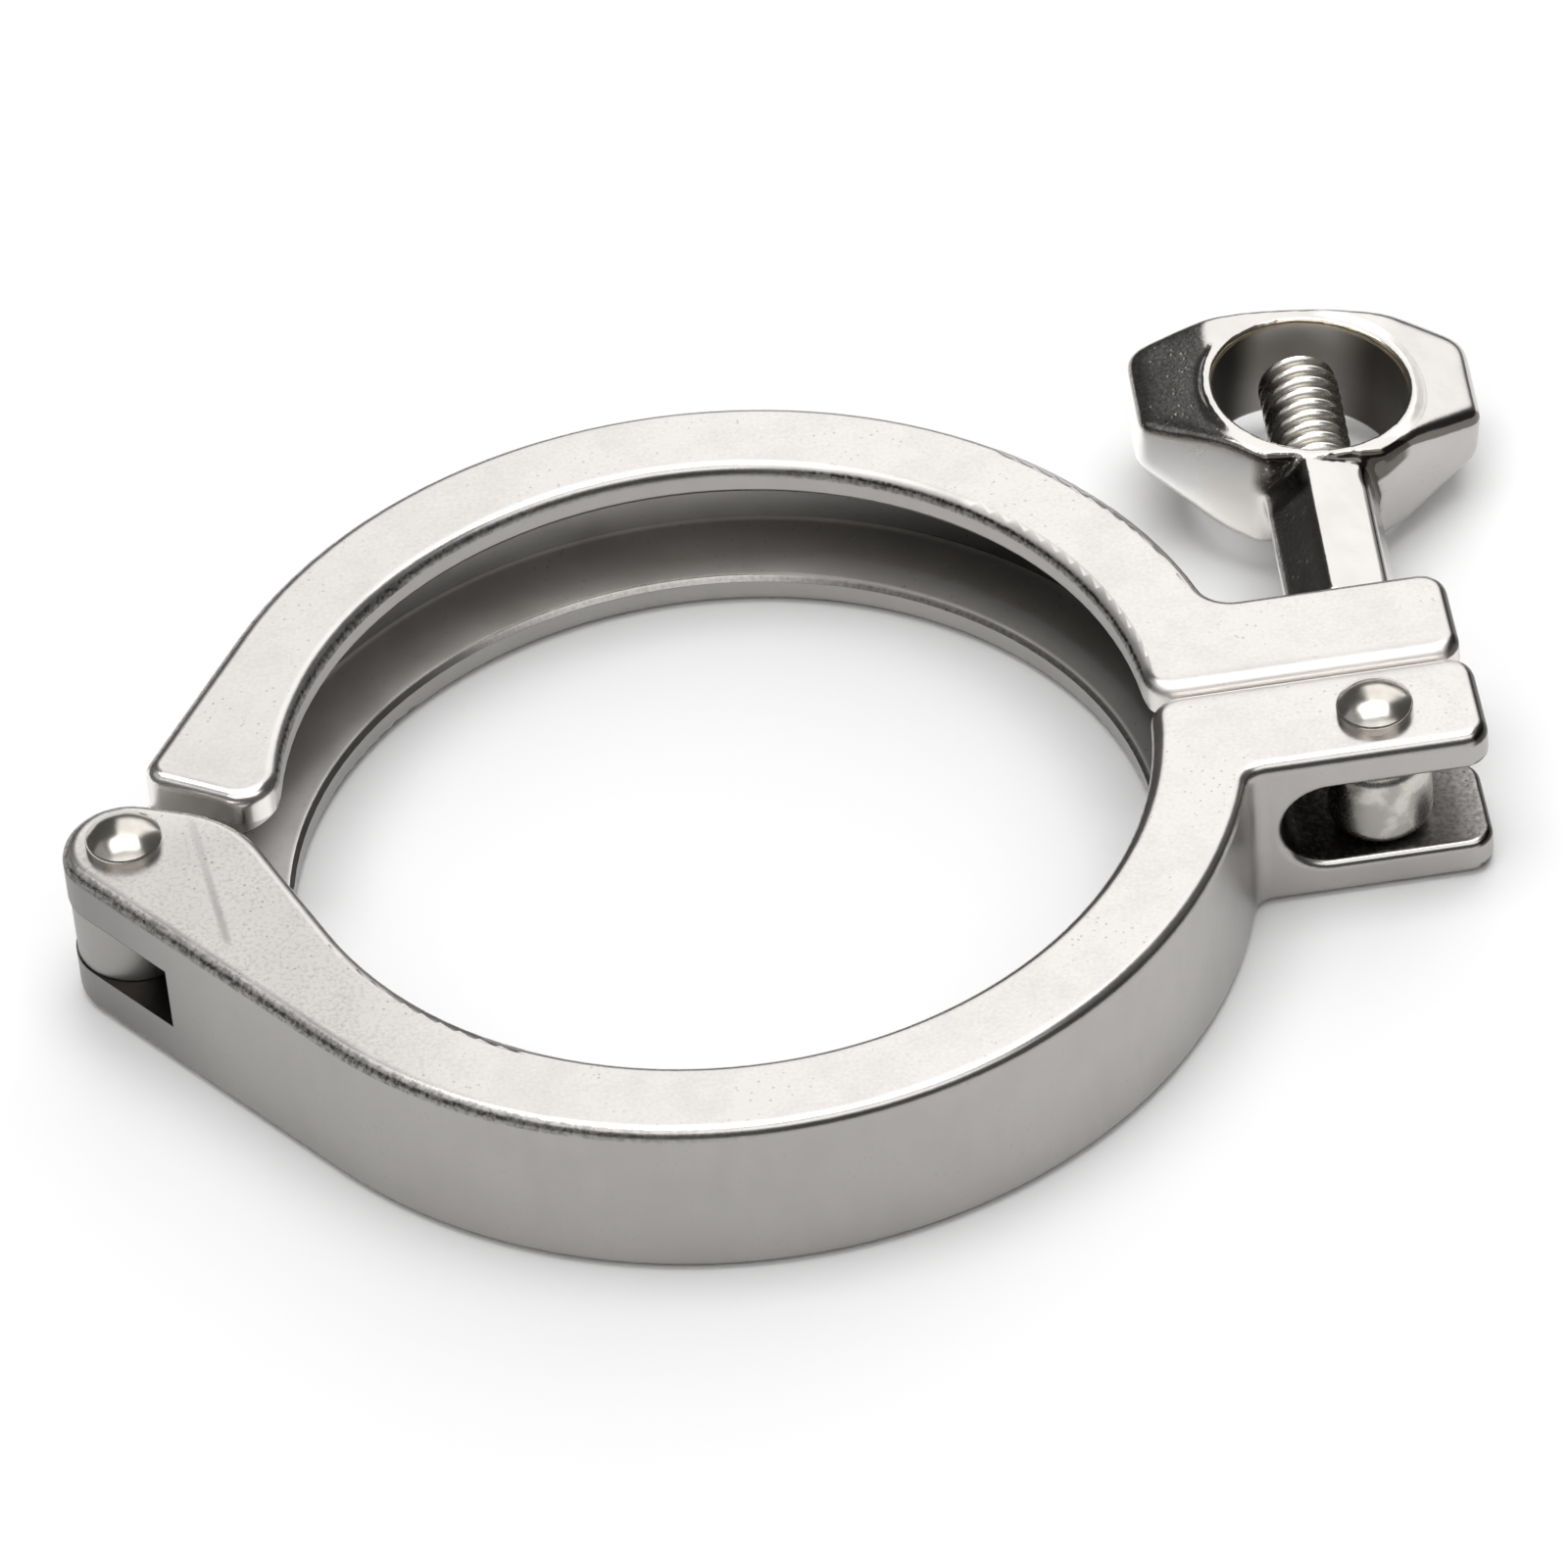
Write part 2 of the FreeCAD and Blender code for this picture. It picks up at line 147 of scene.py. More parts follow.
class Graph:
    """A node tree that is written as Python expressions, with places in millimetres.

    The mix numbers are the places of a colour mix's sockets.
    """

    mix_factor, mix_first, mix_second, mix_colour = 0, 6, 7, 2

    def __init__(self, tree: bpy.types.NodeTree) -> None:
        """Empties the tree of a material or the world."""
        self.tree = tree
        tree.nodes.clear()

    def node(self, kind: str, settings: dict[str, Any] | None = None,
             inputs: dict[Any, Any] | None = None, output: Any = 0) -> Signal:
        """Adds one node.

        Args:
            kind: Type name of the node.
            settings: Attributes, set before the sockets.
            inputs: Values or signals for the input sockets, by name or place.
            output: Name or place of the output that is returned.

        Returns:
            The chosen output.
        """
        made = self.tree.nodes.new(kind)
        for name, value in (settings or {}).items():
            setattr(made, name, value)
        for name, value in (inputs or {}).items():
            socket = made.inputs[name]
            if isinstance(value, Signal):
                self.tree.links.new(value.socket, socket)
            elif socket.type == "RGBA" and len(value) == 3:
                socket.default_value = (*value, 1.0)
            else:
                socket.default_value = value
        return Signal(self, made.outputs[output] if len(made.outputs) else None)

    def place(self) -> Signal:
        """Gives the object's own coordinates in millimetres."""
        raw = self.node("ShaderNodeTexCoord", output="Object")
        return self.stretch(raw, (1.0 / MM, 1.0 / MM, 1.0 / MM))

    def facing(self) -> tuple[Signal, Signal, Signal]:
        """Gives the three numbers of the surface's direction in the object's frame."""
        return self.split(self.node("ShaderNodeTexCoord", output="Normal"))

    def split(self, vector: Signal) -> tuple[Signal, Signal, Signal]:
        """Parts a vector into its three numbers."""
        outputs = self.node("ShaderNodeSeparateXYZ", None, {0: vector}).socket.node.outputs
        return Signal(self, outputs[0]), Signal(self, outputs[1]), Signal(self, outputs[2])

    def stretch(self, vector: Signal, scale: Triple) -> Signal:
        """Scales a vector along each axis."""
        return self.node("ShaderNodeVectorMath", {"operation": "MULTIPLY"}, {0: vector, 1: scale})

    def noise(self, place: Signal, noise: Noise) -> Signal:
        """Gives a noise around its mean, read at a place.

        Args:
            place: Where it is read, as a vector.
            noise: Its size and its octaves.

        Returns:
            The noise, from 0 to 1.
        """
        return self.node("ShaderNodeTexNoise", None, {
            "Vector": place, "Scale": 1 / noise.size, "Detail": noise.detail, "Roughness": noise.rough,
        })

    def cells(self, place: Signal, size: float) -> Signal:
        """Gives the distance to scattered points that lie about a size apart, as a share of it."""
        return self.node("ShaderNodeTexVoronoi", None, {"Vector": place, "Scale": 1 / size})

    def blend(self, factor: Signal, first: Any, second: Any) -> Signal:
        """Mixes two colours by a factor."""
        inputs = {self.mix_factor: factor, self.mix_first: first, self.mix_second: second}
        return self.node("ShaderNodeMix", {"data_type": "RGBA"}, inputs, self.mix_colour)

    def relief(self, height: Signal, depth: float, under: Signal | None = None) -> Signal:
        """Turns a height from 0 to 1 into a bumped normal.

        Args:
            height: The height.
            depth: Real depth of its full range, in millimetres.
            under: Normal of a coarser relief that it lies on.

        Returns:
            The normal.
        """
        inputs = {"Height": height, "Distance": depth * MM, "Strength": 1.0}
        if under is not None:
            inputs["Normal"] = under
        return self.node("ShaderNodeBump", None, inputs)

    def tipped(self, offset: Signal) -> Signal:
        """Tips the surface's normal along the object's Z by an offset, as a worn edge does.

        Args:
            offset: How far it is tipped, as a share of its length.

        Returns:
            The tipped normal.
        """
        local = self.node("ShaderNodeTexCoord", output="Normal")
        push = self.node("ShaderNodeCombineXYZ", None, {"Z": offset})
        leaning = self.node("ShaderNodeVectorMath", {"operation": "ADD"}, {0: local, 1: push})
        unit = self.node("ShaderNodeVectorMath", {"operation": "NORMALIZE"}, {0: leaning})
        turn = {"vector_type": "NORMAL", "convert_from": "OBJECT", "convert_to": "WORLD"}
        return self.node("ShaderNodeVectorTransform", turn, {0: unit})

    def metal(self, colour: Signal, roughness: Signal, normal: Signal) -> None:
        """Ends the tree with a metal surface.

        Args:
            colour: Its base colour.
            roughness: Its roughness, from 0 to 1.
            normal: Its bumped normal.
        """
        shader = self.node("ShaderNodeBsdfPrincipled", None, {
            "Base Color": colour, "Metallic": 1.0, "Roughness": roughness, "Normal": normal,
        })
        self.node("ShaderNodeOutputMaterial", None, {"Surface": shader})


@dataclass(frozen=True)
class BoltAxis:
    """Where the swing bolt stands: its rivet's centre in millimetres, and its lean."""

    x: float = 63.1
    y: float = -6.7
    lean: float = math.radians(1.4)

    def beside(self, x: Any, y: Any) -> Any:
        """Tells how far beside the axis a point lies, for signals or numbers."""
        return (x - self.x) * math.cos(self.lean) - (y - self.y) * math.sin(self.lean)


@dataclass(frozen=True)
class NutWindow:
    """The round window in the wing nut: its centre and radius in millimetres, and its roll."""

    x: float = 64.37
    y: float = 45.38
    radius: float = 9.7
    roll: float = math.radians(7.0)

    def level(self, across: Any, up: Any) -> Any:
        """Gives the part of a step or a direction that runs along the window's axis."""
        return across * math.sin(self.roll) + up * math.cos(self.roll)

    def aside(self, across: Any, up: Any) -> Any:
        """Gives the part of a step or a direction that runs from the left wing to the right."""
        return across * math.cos(self.roll) - up * math.sin(self.roll)


@dataclass(frozen=True)
class Steel:
    """A stainless steel surface, which each finish fills in its own way."""

    tone: Triple = (0.62, 0.60, 0.58)
    roughness: float = 0.24

    def material(self, name: str) -> bpy.types.Material:
        """Builds the material under a name.

        Args:
            name: Name of the material.

        Returns:
            The material.
        """
        material = bpy.data.materials.new(name)
        material.use_nodes = True
        self.fill(Graph(material.node_tree))
        return material

    def shade(self, share: float, warmth: float = 0.0) -> Triple:
        """Gives the tone at a share of its lightness, a little browner where warmth is above 0."""
        red, green, blue = self.tone
        return red * share * (1 + warmth), green * share, blue * share * (1 - warmth)

    def fill(self, graph: Graph) -> None:
        """Adds the surface's nodes to a graph."""
        raise NotImplementedError


@dataclass(frozen=True)
class TumbledJaw(Steel):
    """A cast jaw: ground flat on top and tumbled at its edges, with painted shade in its groove, cleft and
    slot, on its walls and along its rounded edges, and painted light where the jaws meet.
    """

    lip_radius: float = 42.0
    lip_width: float = 0.4
    groove_radius: float = 49.0
    groove_half_width: float = 5.5
    slot_centre: float = 57.6
    slot_radius: float = 4.8
    hinge_pin: Pair = (-57.0, -0.2)
    cleft_reach: float = 13.0
    cleft_half_width: float = 3.6
    jaw_end: Pair = (-0.521, -0.854)

    cloud: Noise = Noise(7.0, 3.0, 0.55)
    grain: Noise = Noise(0.45, 2.0, 0.6)
    pebble: Noise = Noise(0.5, 2.0, 0.6)
    streak: Noise = Noise(2.2, 2.0)
    streak_stretch: Triple = (1.0, 1.0, 0.35)
    waves: Noise = Noise(8.0, 1.0)
    wave_depth: float = 0.10
    relief_depth: float = 0.008
    speck_size: float = 0.9
    speck_core: Span = (0.22, 0.08)
    speck_patches: Span = (0.46, 0.60)

    level: Span = (0.985, 0.998)
    slanting: Span = (0.99, 0.9)
    upright: Span = (0.55, 0.15)
    groove_soft: float = 0.1
    inside_soft: float = 0.2
    split_half_width: Span = (2.6, 1.4)
    split_start: Span = (0.0, 1.5)
    end_reach: Span = (-34.0, -38.0)
    end_side: Span = (0.0, 2.0)
    end_corner: Span = (0.2, 0.4)
    end_face: Span = (0.90, 0.97)
    knuckle_reach: Span = (-52.0, -54.0)
    knuckle_height: Span = (3.7, 3.5)
    ear_reach: Span = (-26.0, -42.0)
    ear_side: Span = (4.0, -2.0)
    lug_end_reach: Span = (69.0, 71.0)
    lug_end_facing: Span = (0.2, 0.5)
    lug_end_slant: Triple = (0.15, 0.9, 0.08)
    brink_slant: Triple = (0.12, 0.70, 0.05)
    brow_reach: Span = (5.0, 20.0)
    brow_radius: Span = (45.0, 44.0)
    brow_side: Span = (2.0, 5.0)
    brow_slant: Triple = (0.5, 0.98, 0.02)
    brow_steep: Span = (0.3, 0.5)
    brow_level: Span = (0.995, 0.98)
    worn_reach: Span = (5.0, -30.0)
    worn_height: Span = (6.3, 7.0)
    worn_slant: Triple = (0.12, 0.93, 0.04)
    worn_pebbles: Span = (0.40, 0.62)

    slot_edge: Span = (0.30, 0.08)
    slot_reach: Span = (-6.0, -5.0)
    slot_facing: Span = (-0.5, -0.2)
    slot_depth: Span = (68.0, 60.0)
    cleft_edge: Span = (0.1, -0.02)
    cleft_height: Span = (0.12, 0.02)
    seam_height: Triple = (-3.6, -3.2, 0.1)
    seam_radius: Span = (48.1, 48.4)
    seam_reach: Span = (38.0, 15.0)
    flank_height: Span = (-3.0, -3.6)
    flank_radius: Span = (43.0, 47.5)
    root_height: Span = (-3.4, -3.0)
    root_reach: Span = (32.0, 4.0)
    lugward: Span = (0.0, 35.0)
    lip_edge: Span = (0.5, 0.4)
    lip_height: Triple = (5.5, 6.2, 0.05)
    lip_tip: float = -0.07

    scratch_slope: float = 0.105
    scratch_place: float = 50.27
    scratch_width: Span = (0.6, 0.1)
    scratch_ends: Triple = (-16.0, 1.8, 0.8)
    scratch_deepens: Span = (-2.0, -12.0)

    # Painted shade on the outer walls, most at the hinge, and on the tops towards the hinge; the ear is a
    # little darker, and the scratch is real.
    hinge_walls: Span = (-48.0, -62.0)
    middle_walls: Span = (40.0, 0.0)
    top_fade: Span = (20.0, -60.0)
    wall_painted_shade: float = 0.28
    wall_painted_shade_at_hinge: float = 0.27
    wall_painted_shade_in_middle: float = 0.05
    top_painted_shade: float = 0.10
    ear_darkening: float = 0.08
    scratch_dull: float = 0.12
    scratch_dull_at_end: float = 0.14

    # Painted shade on the hinge cleft's inner walls, used on the front jaw.
    cleft_dark: float = 0.0
    # Painted shade in the groove, darker on its lower flank and towards the lugs, lighter on its root, with a
    # painted highlight along its seam.
    groove_dark: float = 0.65
    groove_dark_at_lugs: float = 0.34
    flank_dark: float = 0.08
    flank_dark_at_root: float = 0.35
    root_light: float = 0.03
    root_light_in_middle: float = 0.27
    seam_light: float = 0.45
    # Painted shade on the bolt slot's walls, darkest where they are deepest, with blotches.
    slot_dark: float = 0.60
    slot_dark_within: float = 0.35
    slot_blotches: float = 0.8
    # Painted shade on the lug ends, along the rounded edges and on the rear jaw's inner edge.
    lug_end_dark: float = 0.9
    brink_dark: float = 0.27
    brink_grain: float = 0.36
    brow_dark: float = 0.35
    worn_dark: float = 0.45
    speck_dark: float = 0.10
    speck_dark_on_top: float = 0.20
    speck_dark_on_ear: float = 0.08
    # Colour of the painted shade, the pits and the worn flecks.
    painted_shade_and_wear_tone: Pair = (0.08, 0.08)

    cloud_patches: Span = (0.66, 0.30)
    cloud_mottle: float = 0.14
    streak_mottle: float = 0.22
    grain_mottle: float = 0.35
    ear_mottle: float = 1.5
    mottle_shade: Pair = (0.45, 0.02)
    # Painted light on the faces where the jaws meet and on the knuckle.
    knuckle_painted_light: float = 0.0
    painted_light_share: float = 0.9
    painted_light_tone: Pair = (1.5, 0.0)

    cloud_rough: float = 0.10
    grain_rough: float = 0.08
    ear_rough: float = 0.08
    groove_rough: float = 0.14
    speck_rough: float = 0.2
    side_rough: float = 0.10
    joint_rough: float = 0.20
    slot_rough: float = 0.15
    worn_rough: float = 0.16
    brow_rough: float = 0.25

    grain_relief: float = 0.5
    ear_relief: float = 0.8
    groove_relief: float = 0.6
    slot_relief: float = 2.0
    worn_relief: float = 3.0
    speck_relief: float = 2.0

    def fill(self, graph: Graph) -> None:
        """Adds the surface's nodes to a graph.

        Args:
            graph: Graph of the material.
        """
        surface = JawSurface(graph, self)
        roughness = (surface.roughness() + self.roughness).held()
        graph.metal(surface.colour(), roughness, surface.normal())


class JawSurface:
    """The masks of a jaw's surface, each from 0 to 1, and what is mixed from them."""

    def __init__(self, graph: Graph, jaw: TumbledJaw) -> None:
        """Lays out the masks.

        Args:
            graph: Graph of the jaw's material.
            jaw: The finish, with its sizes and shares.
        """
        self.graph = graph
        self.jaw = jaw
        place = graph.place()
        self.x, self.y, self.z = graph.split(place)
        self.nx, self.ny, nz = graph.facing()
        self.cloud = graph.noise(place, jaw.cloud)
        self.grain = graph.noise(place, jaw.grain)
        self.pebble = graph.noise(place, jaw.pebble)
        self.streak = graph.noise(graph.stretch(place, jaw.streak_stretch), jaw.streak)
        self.waves = graph.noise(place, jaw.waves)
        self.radius = (self.x * self.x + self.y * self.y) ** 0.5
        self.up = abs(nz)
        self.flat = self.up.ease(*jaw.level)
        self.inside = self.radius.band(jaw.lip_radius + jaw.lip_width, jaw.groove_radius, jaw.inside_soft)
        self.lay_out_faces()
        self.lay_out_edges()
        self.groove = self.groove_walls()
        self.pocket = self.slot_walls()
        self.scratch = self.scratch_line()
        dots = graph.cells(place, jaw.speck_size).ease(*jaw.speck_core) * self.cloud.ease(*jaw.speck_patches)
        ear_top = self.ear * self.flat
        share = self.flat * jaw.speck_dark_on_top + ear_top * jaw.speck_dark_on_ear + jaw.speck_dark
        self.speck = dots * share

    def lay_out_faces(self) -> None:
        """Marks the outer walls and the faces where the two jaws meet or turn."""
        jaw = self.jaw
        self.split = abs(self.y).ease(*jaw.split_half_width)
        self.split = self.split * (self.x - jaw.lip_radius).ease(*jaw.split_start)
        facing_end = self.nx * jaw.jaw_end[0] + self.ny * jaw.jaw_end[1]
        self.near_end = self.x.ease(*jaw.end_reach) * self.y.ease(*jaw.end_side)
        self.near_end = self.near_end * facing_end.ease(*jaw.end_corner)
        self.end = self.near_end * facing_end.ease(*jaw.end_face)
        self.knuckle = self.x.ease(*jaw.knuckle_reach) * abs(self.z).ease(*jaw.knuckle_height)
        # The knuckle mask carries its share of painted light.
        self.knuckle = self.knuckle * jaw.knuckle_painted_light
        self.ear = self.x.ease(*jaw.ear_reach) * self.y.ease(*jaw.ear_side)
        outside = (1.0 - self.inside) * (1.0 - self.end) * (1.0 - self.knuckle)
        self.side = self.up.ease(*jaw.upright) * outside

    def lay_out_edges(self) -> None:
        """Marks the rounded edges: the open ones, the rear jaw's inner one and the worn ones."""
        jaw = self.jaw
        self.open_edge = (1.0 - self.split) * (1.0 - self.near_end) * (1.0 - self.inside)
        self.brink = self.up.band(*jaw.brink_slant) * (1.0 - self.side) * self.open_edge
        self.brow = self.x.ease(*jaw.brow_reach) * self.radius.ease(*jaw.brow_radius)
        self.brow = self.brow * self.y.ease(*jaw.brow_side)
        worn = (self.x.ease(*jaw.worn_reach) + self.brow).held() * self.up.band(*jaw.worn_slant)
        self.worn = worn * self.open_edge * self.z.ease(*jaw.worn_height)

    def groove_walls(self) -> Signal:
        """Marks the inside of the groove.

        Returns:
            The mask.
        """
        jaw = self.jaw
        height = (abs(self.z) - jaw.groove_half_width).ease(jaw.groove_soft, -jaw.groove_soft)
        return self.inside * height * self.up.ease(*jaw.slanting)

    def slot_walls(self) -> Signal:
        """Marks the bolt slot's inner walls with painted shade, blotched and darkest where they are deepest.

        Returns:
            The walls' share of painted shade.
        """
        jaw = self.jaw
        reach = (jaw.slot_centre - self.x).math("MAXIMUM", 0.0)
        walls = ((reach * reach + self.z * self.z) ** 0.5 - jaw.slot_radius).ease(*jaw.slot_edge)
        walls = walls * (self.x - jaw.slot_centre).ease(*jaw.slot_reach) * self.ny.ease(*jaw.slot_facing)
        blotches = (self.pebble - MEAN) * jaw.slot_blotches
        return walls * (self.x.ease(*jaw.slot_depth) * jaw.slot_dark_within + jaw.slot_dark + blotches)

    def cleft_walls(self) -> Signal:
        """Marks the inner walls of the hinge's cleft, which run around its pin.

        Returns:
            The mask.
        """
        jaw = self.jaw
        from_pin = ((self.x - jaw.hinge_pin[0]) ** 2.0 + (self.y - jaw.hinge_pin[1]) ** 2.0) ** 0.5
        walls = (from_pin - jaw.cleft_reach).ease(*jaw.cleft_edge)
        return walls * (abs(self.z) - jaw.cleft_half_width).ease(*jaw.cleft_height)

    def scratch_line(self) -> Signal:
        """Marks the long faint scratch across the ear.

        Returns:
            The mask.
        """
        jaw = self.jaw
        line = abs(self.x + self.y * jaw.scratch_slope + jaw.scratch_place).ease(*jaw.scratch_width)
        return line * self.y.band(*jaw.scratch_ends) * self.flat

    def groove_painted_shade(self) -> Signal:
        """Paints shade into the groove, more on its lower flank and to the lugs, less on its root, and
        lightens its seam with a painted highlight.

        Returns:
            The groove's share of painted shade.
        """
        jaw = self.jaw
        seam = self.z.band(*jaw.seam_height) * self.radius.ease(*jaw.seam_radius)
        seam = seam * self.x.ease(*jaw.seam_reach)
        flank = self.radius.ease(*jaw.flank_radius) * jaw.flank_dark_at_root + jaw.flank_dark
        root = self.x.ease(*jaw.root_reach) * jaw.root_light_in_middle + jaw.root_light
        painted_shade_and_wear = self.x.ease(*jaw.lugward) * jaw.groove_dark_at_lugs + jaw.groove_dark
        painted_shade_and_wear = painted_shade_and_wear - self.z.ease(*jaw.root_height) * root + self.z.ease(*jaw.flank_height) * flank
        return self.groove * (painted_shade_and_wear - seam * jaw.seam_light)

    def painted_shade_and_wear(self) -> Signal:
        """Gathers all that is darkened: painted shade in the groove, cleft and slot, on the lug ends and
        along the rounded edges, and the real pits and worn flecks.

        Returns:
            The share of painted shade and wear, from 0 to 1.
        """
        jaw = self.jaw
        # Painted shade on the lug ends, along the open rounded edges, with grain, and on the rear jaw's inner
        # edge; the worn flecks are real wear.
        lug_end = self.x.ease(*jaw.lug_end_reach) * self.nx.ease(*jaw.lug_end_facing)
        lug_end = lug_end * self.up.band(*jaw.lug_end_slant)
        brink = self.brink * (self.grain * jaw.brink_grain + jaw.brink_dark)
        brow = self.brow * self.up.band(*jaw.brow_slant) * self.open_edge
        worn = self.worn * self.pebble.ease(*jaw.worn_pebbles)
        walls = self.groove_painted_shade() + self.cleft_walls() * jaw.cleft_dark + self.pocket
        edges = lug_end * jaw.lug_end_dark + brink + brow * jaw.brow_dark + worn * jaw.worn_dark
        return (walls + edges + self.speck).held()

    def painted_shade_and_scratch(self) -> Signal:
        """Paints shade on the outer walls, most at the hinge, and on the tops a little, more towards the
        hinge; darkens the ear a little and the real scratch.

        Returns:
            The share of black in the colour.
        """
        jaw = self.jaw
        walls = self.x.ease(*jaw.hinge_walls) * jaw.wall_painted_shade_at_hinge + jaw.wall_painted_shade
        walls = self.side * (walls + self.x.ease(*jaw.middle_walls) * jaw.wall_painted_shade_in_middle)
        tops = self.flat * (self.x.ease(*jaw.top_fade) * jaw.top_painted_shade + self.ear * jaw.ear_darkening)
        scratch = self.y.ease(*jaw.scratch_deepens) * jaw.scratch_dull_at_end + jaw.scratch_dull
        return walls + tops + self.scratch * scratch

    def colour(self) -> Signal:
        """Mixes the jaw's colour.

        Returns:
            The colour.
        """
        jaw, graph = self.jaw, self.graph
        grain = self.flat * (self.grain - MEAN) * (self.ear * jaw.ear_mottle + jaw.grain_mottle)
        mottle = self.cloud.ease(*jaw.cloud_patches) * jaw.cloud_mottle + grain
        mottle = mottle + (self.streak - MEAN) * jaw.streak_mottle
        # Painted light on the faces where the jaws meet, on the rear jaw's end face and on its knuckle.
        bright = (self.near_end + self.split * self.up.ease(*jaw.slanting) + self.knuckle).held()
        colour = graph.blend(self.painted_shade_and_scratch(), jaw.tone, BLACK)
        colour = graph.blend(mottle.held(), colour, jaw.shade(*jaw.mottle_shade))
        colour = graph.blend(bright * jaw.painted_light_share, colour, jaw.shade(*jaw.painted_light_tone))
        return graph.blend(self.painted_shade_and_wear(), colour, jaw.shade(*jaw.painted_shade_and_wear_tone))

    def roughness(self) -> Signal:
        """Gives what the roughness differs from its mean.

        Returns:
            The difference.
        """
        jaw = self.jaw
        rough = (self.cloud - MEAN) * jaw.cloud_rough + (self.grain - MEAN) * jaw.grain_rough
        rough = rough + self.ear * jaw.ear_rough + self.groove * jaw.groove_rough
        rough = rough + self.speck * jaw.speck_rough + self.side * jaw.side_rough
        rough = rough + (self.end + self.split + self.knuckle) * jaw.joint_rough
        rough = rough + self.pocket * jaw.slot_rough + self.worn * jaw.worn_rough
        brow = self.brow * self.up.ease(*jaw.brow_steep) * self.up.ease(*jaw.brow_level)
        return rough + brow * jaw.brow_rough

    def normal(self) -> Signal:
        """Lays the grain over slow waves, with the lip's edges tipped as if rounded.

        Returns:
            The normal.
        """
        jaw, graph = self.jaw, self.graph
        lip = (self.radius - jaw.lip_radius).ease(*jaw.lip_edge) * abs(self.z).band(*jaw.lip_height)
        waves = graph.relief(self.waves, jaw.wave_depth, graph.tipped(lip * self.z * jaw.lip_tip))
        coarse = self.ear * jaw.ear_relief + self.groove * jaw.groove_relief + self.pocket * jaw.slot_relief
        height = self.grain * (coarse + jaw.grain_relief) + self.worn * self.pebble * jaw.worn_relief
        return graph.relief(height - self.speck * jaw.speck_relief - self.scratch, jaw.relief_depth, waves)


@dataclass(frozen=True)
class PolishedRivet(Steel):
    """A rivet head polished by its peening tool."""

    tone: Triple = (0.62, 0.59, 0.54)
    roughness: float = 0.21
    cloud: Noise = Noise(2.5, 2.0)
    grain: Noise = Noise(0.3, 2.0)
    waves: Noise = Noise(2.6, 1.0)
    wave_depth: float = 0.12
    relief_depth: float = 0.003
    cloud_patches: Span = (0.7, 0.3)
    cloud_mottle: float = 0.3
    cloud_rough: float = 0.08
    mottle_shade: Pair = (0.55, 0.03)
    dent_size: float = 1.4
    dent_core: Span = (0.25, 0.05)
    dent_patches: Span = (0.5, 0.6)
    dent_dark: float = 0.2
    dent_relief: float = 1.5

    def fill(self, graph: Graph) -> None:
        """Adds the surface's nodes to a graph.

        Args:
            graph: Graph of the material.
        """
        place = graph.place()
        cloud = graph.noise(place, self.cloud)
        dent = graph.cells(place, self.dent_size).ease(*self.dent_core) * cloud.ease(*self.dent_patches)
        mottle = cloud.ease(*self.cloud_patches) * self.cloud_mottle + dent * self.dent_dark
        colour = graph.blend(mottle, self.tone, self.shade(*self.mottle_shade))
        waves = graph.relief(graph.noise(place, self.waves), self.wave_depth)
        height = graph.noise(place, self.grain) - dent * self.dent_relief
        rough = (cloud - MEAN) * self.cloud_rough + self.roughness
        graph.metal(colour, rough, graph.relief(height, self.relief_depth, waves))


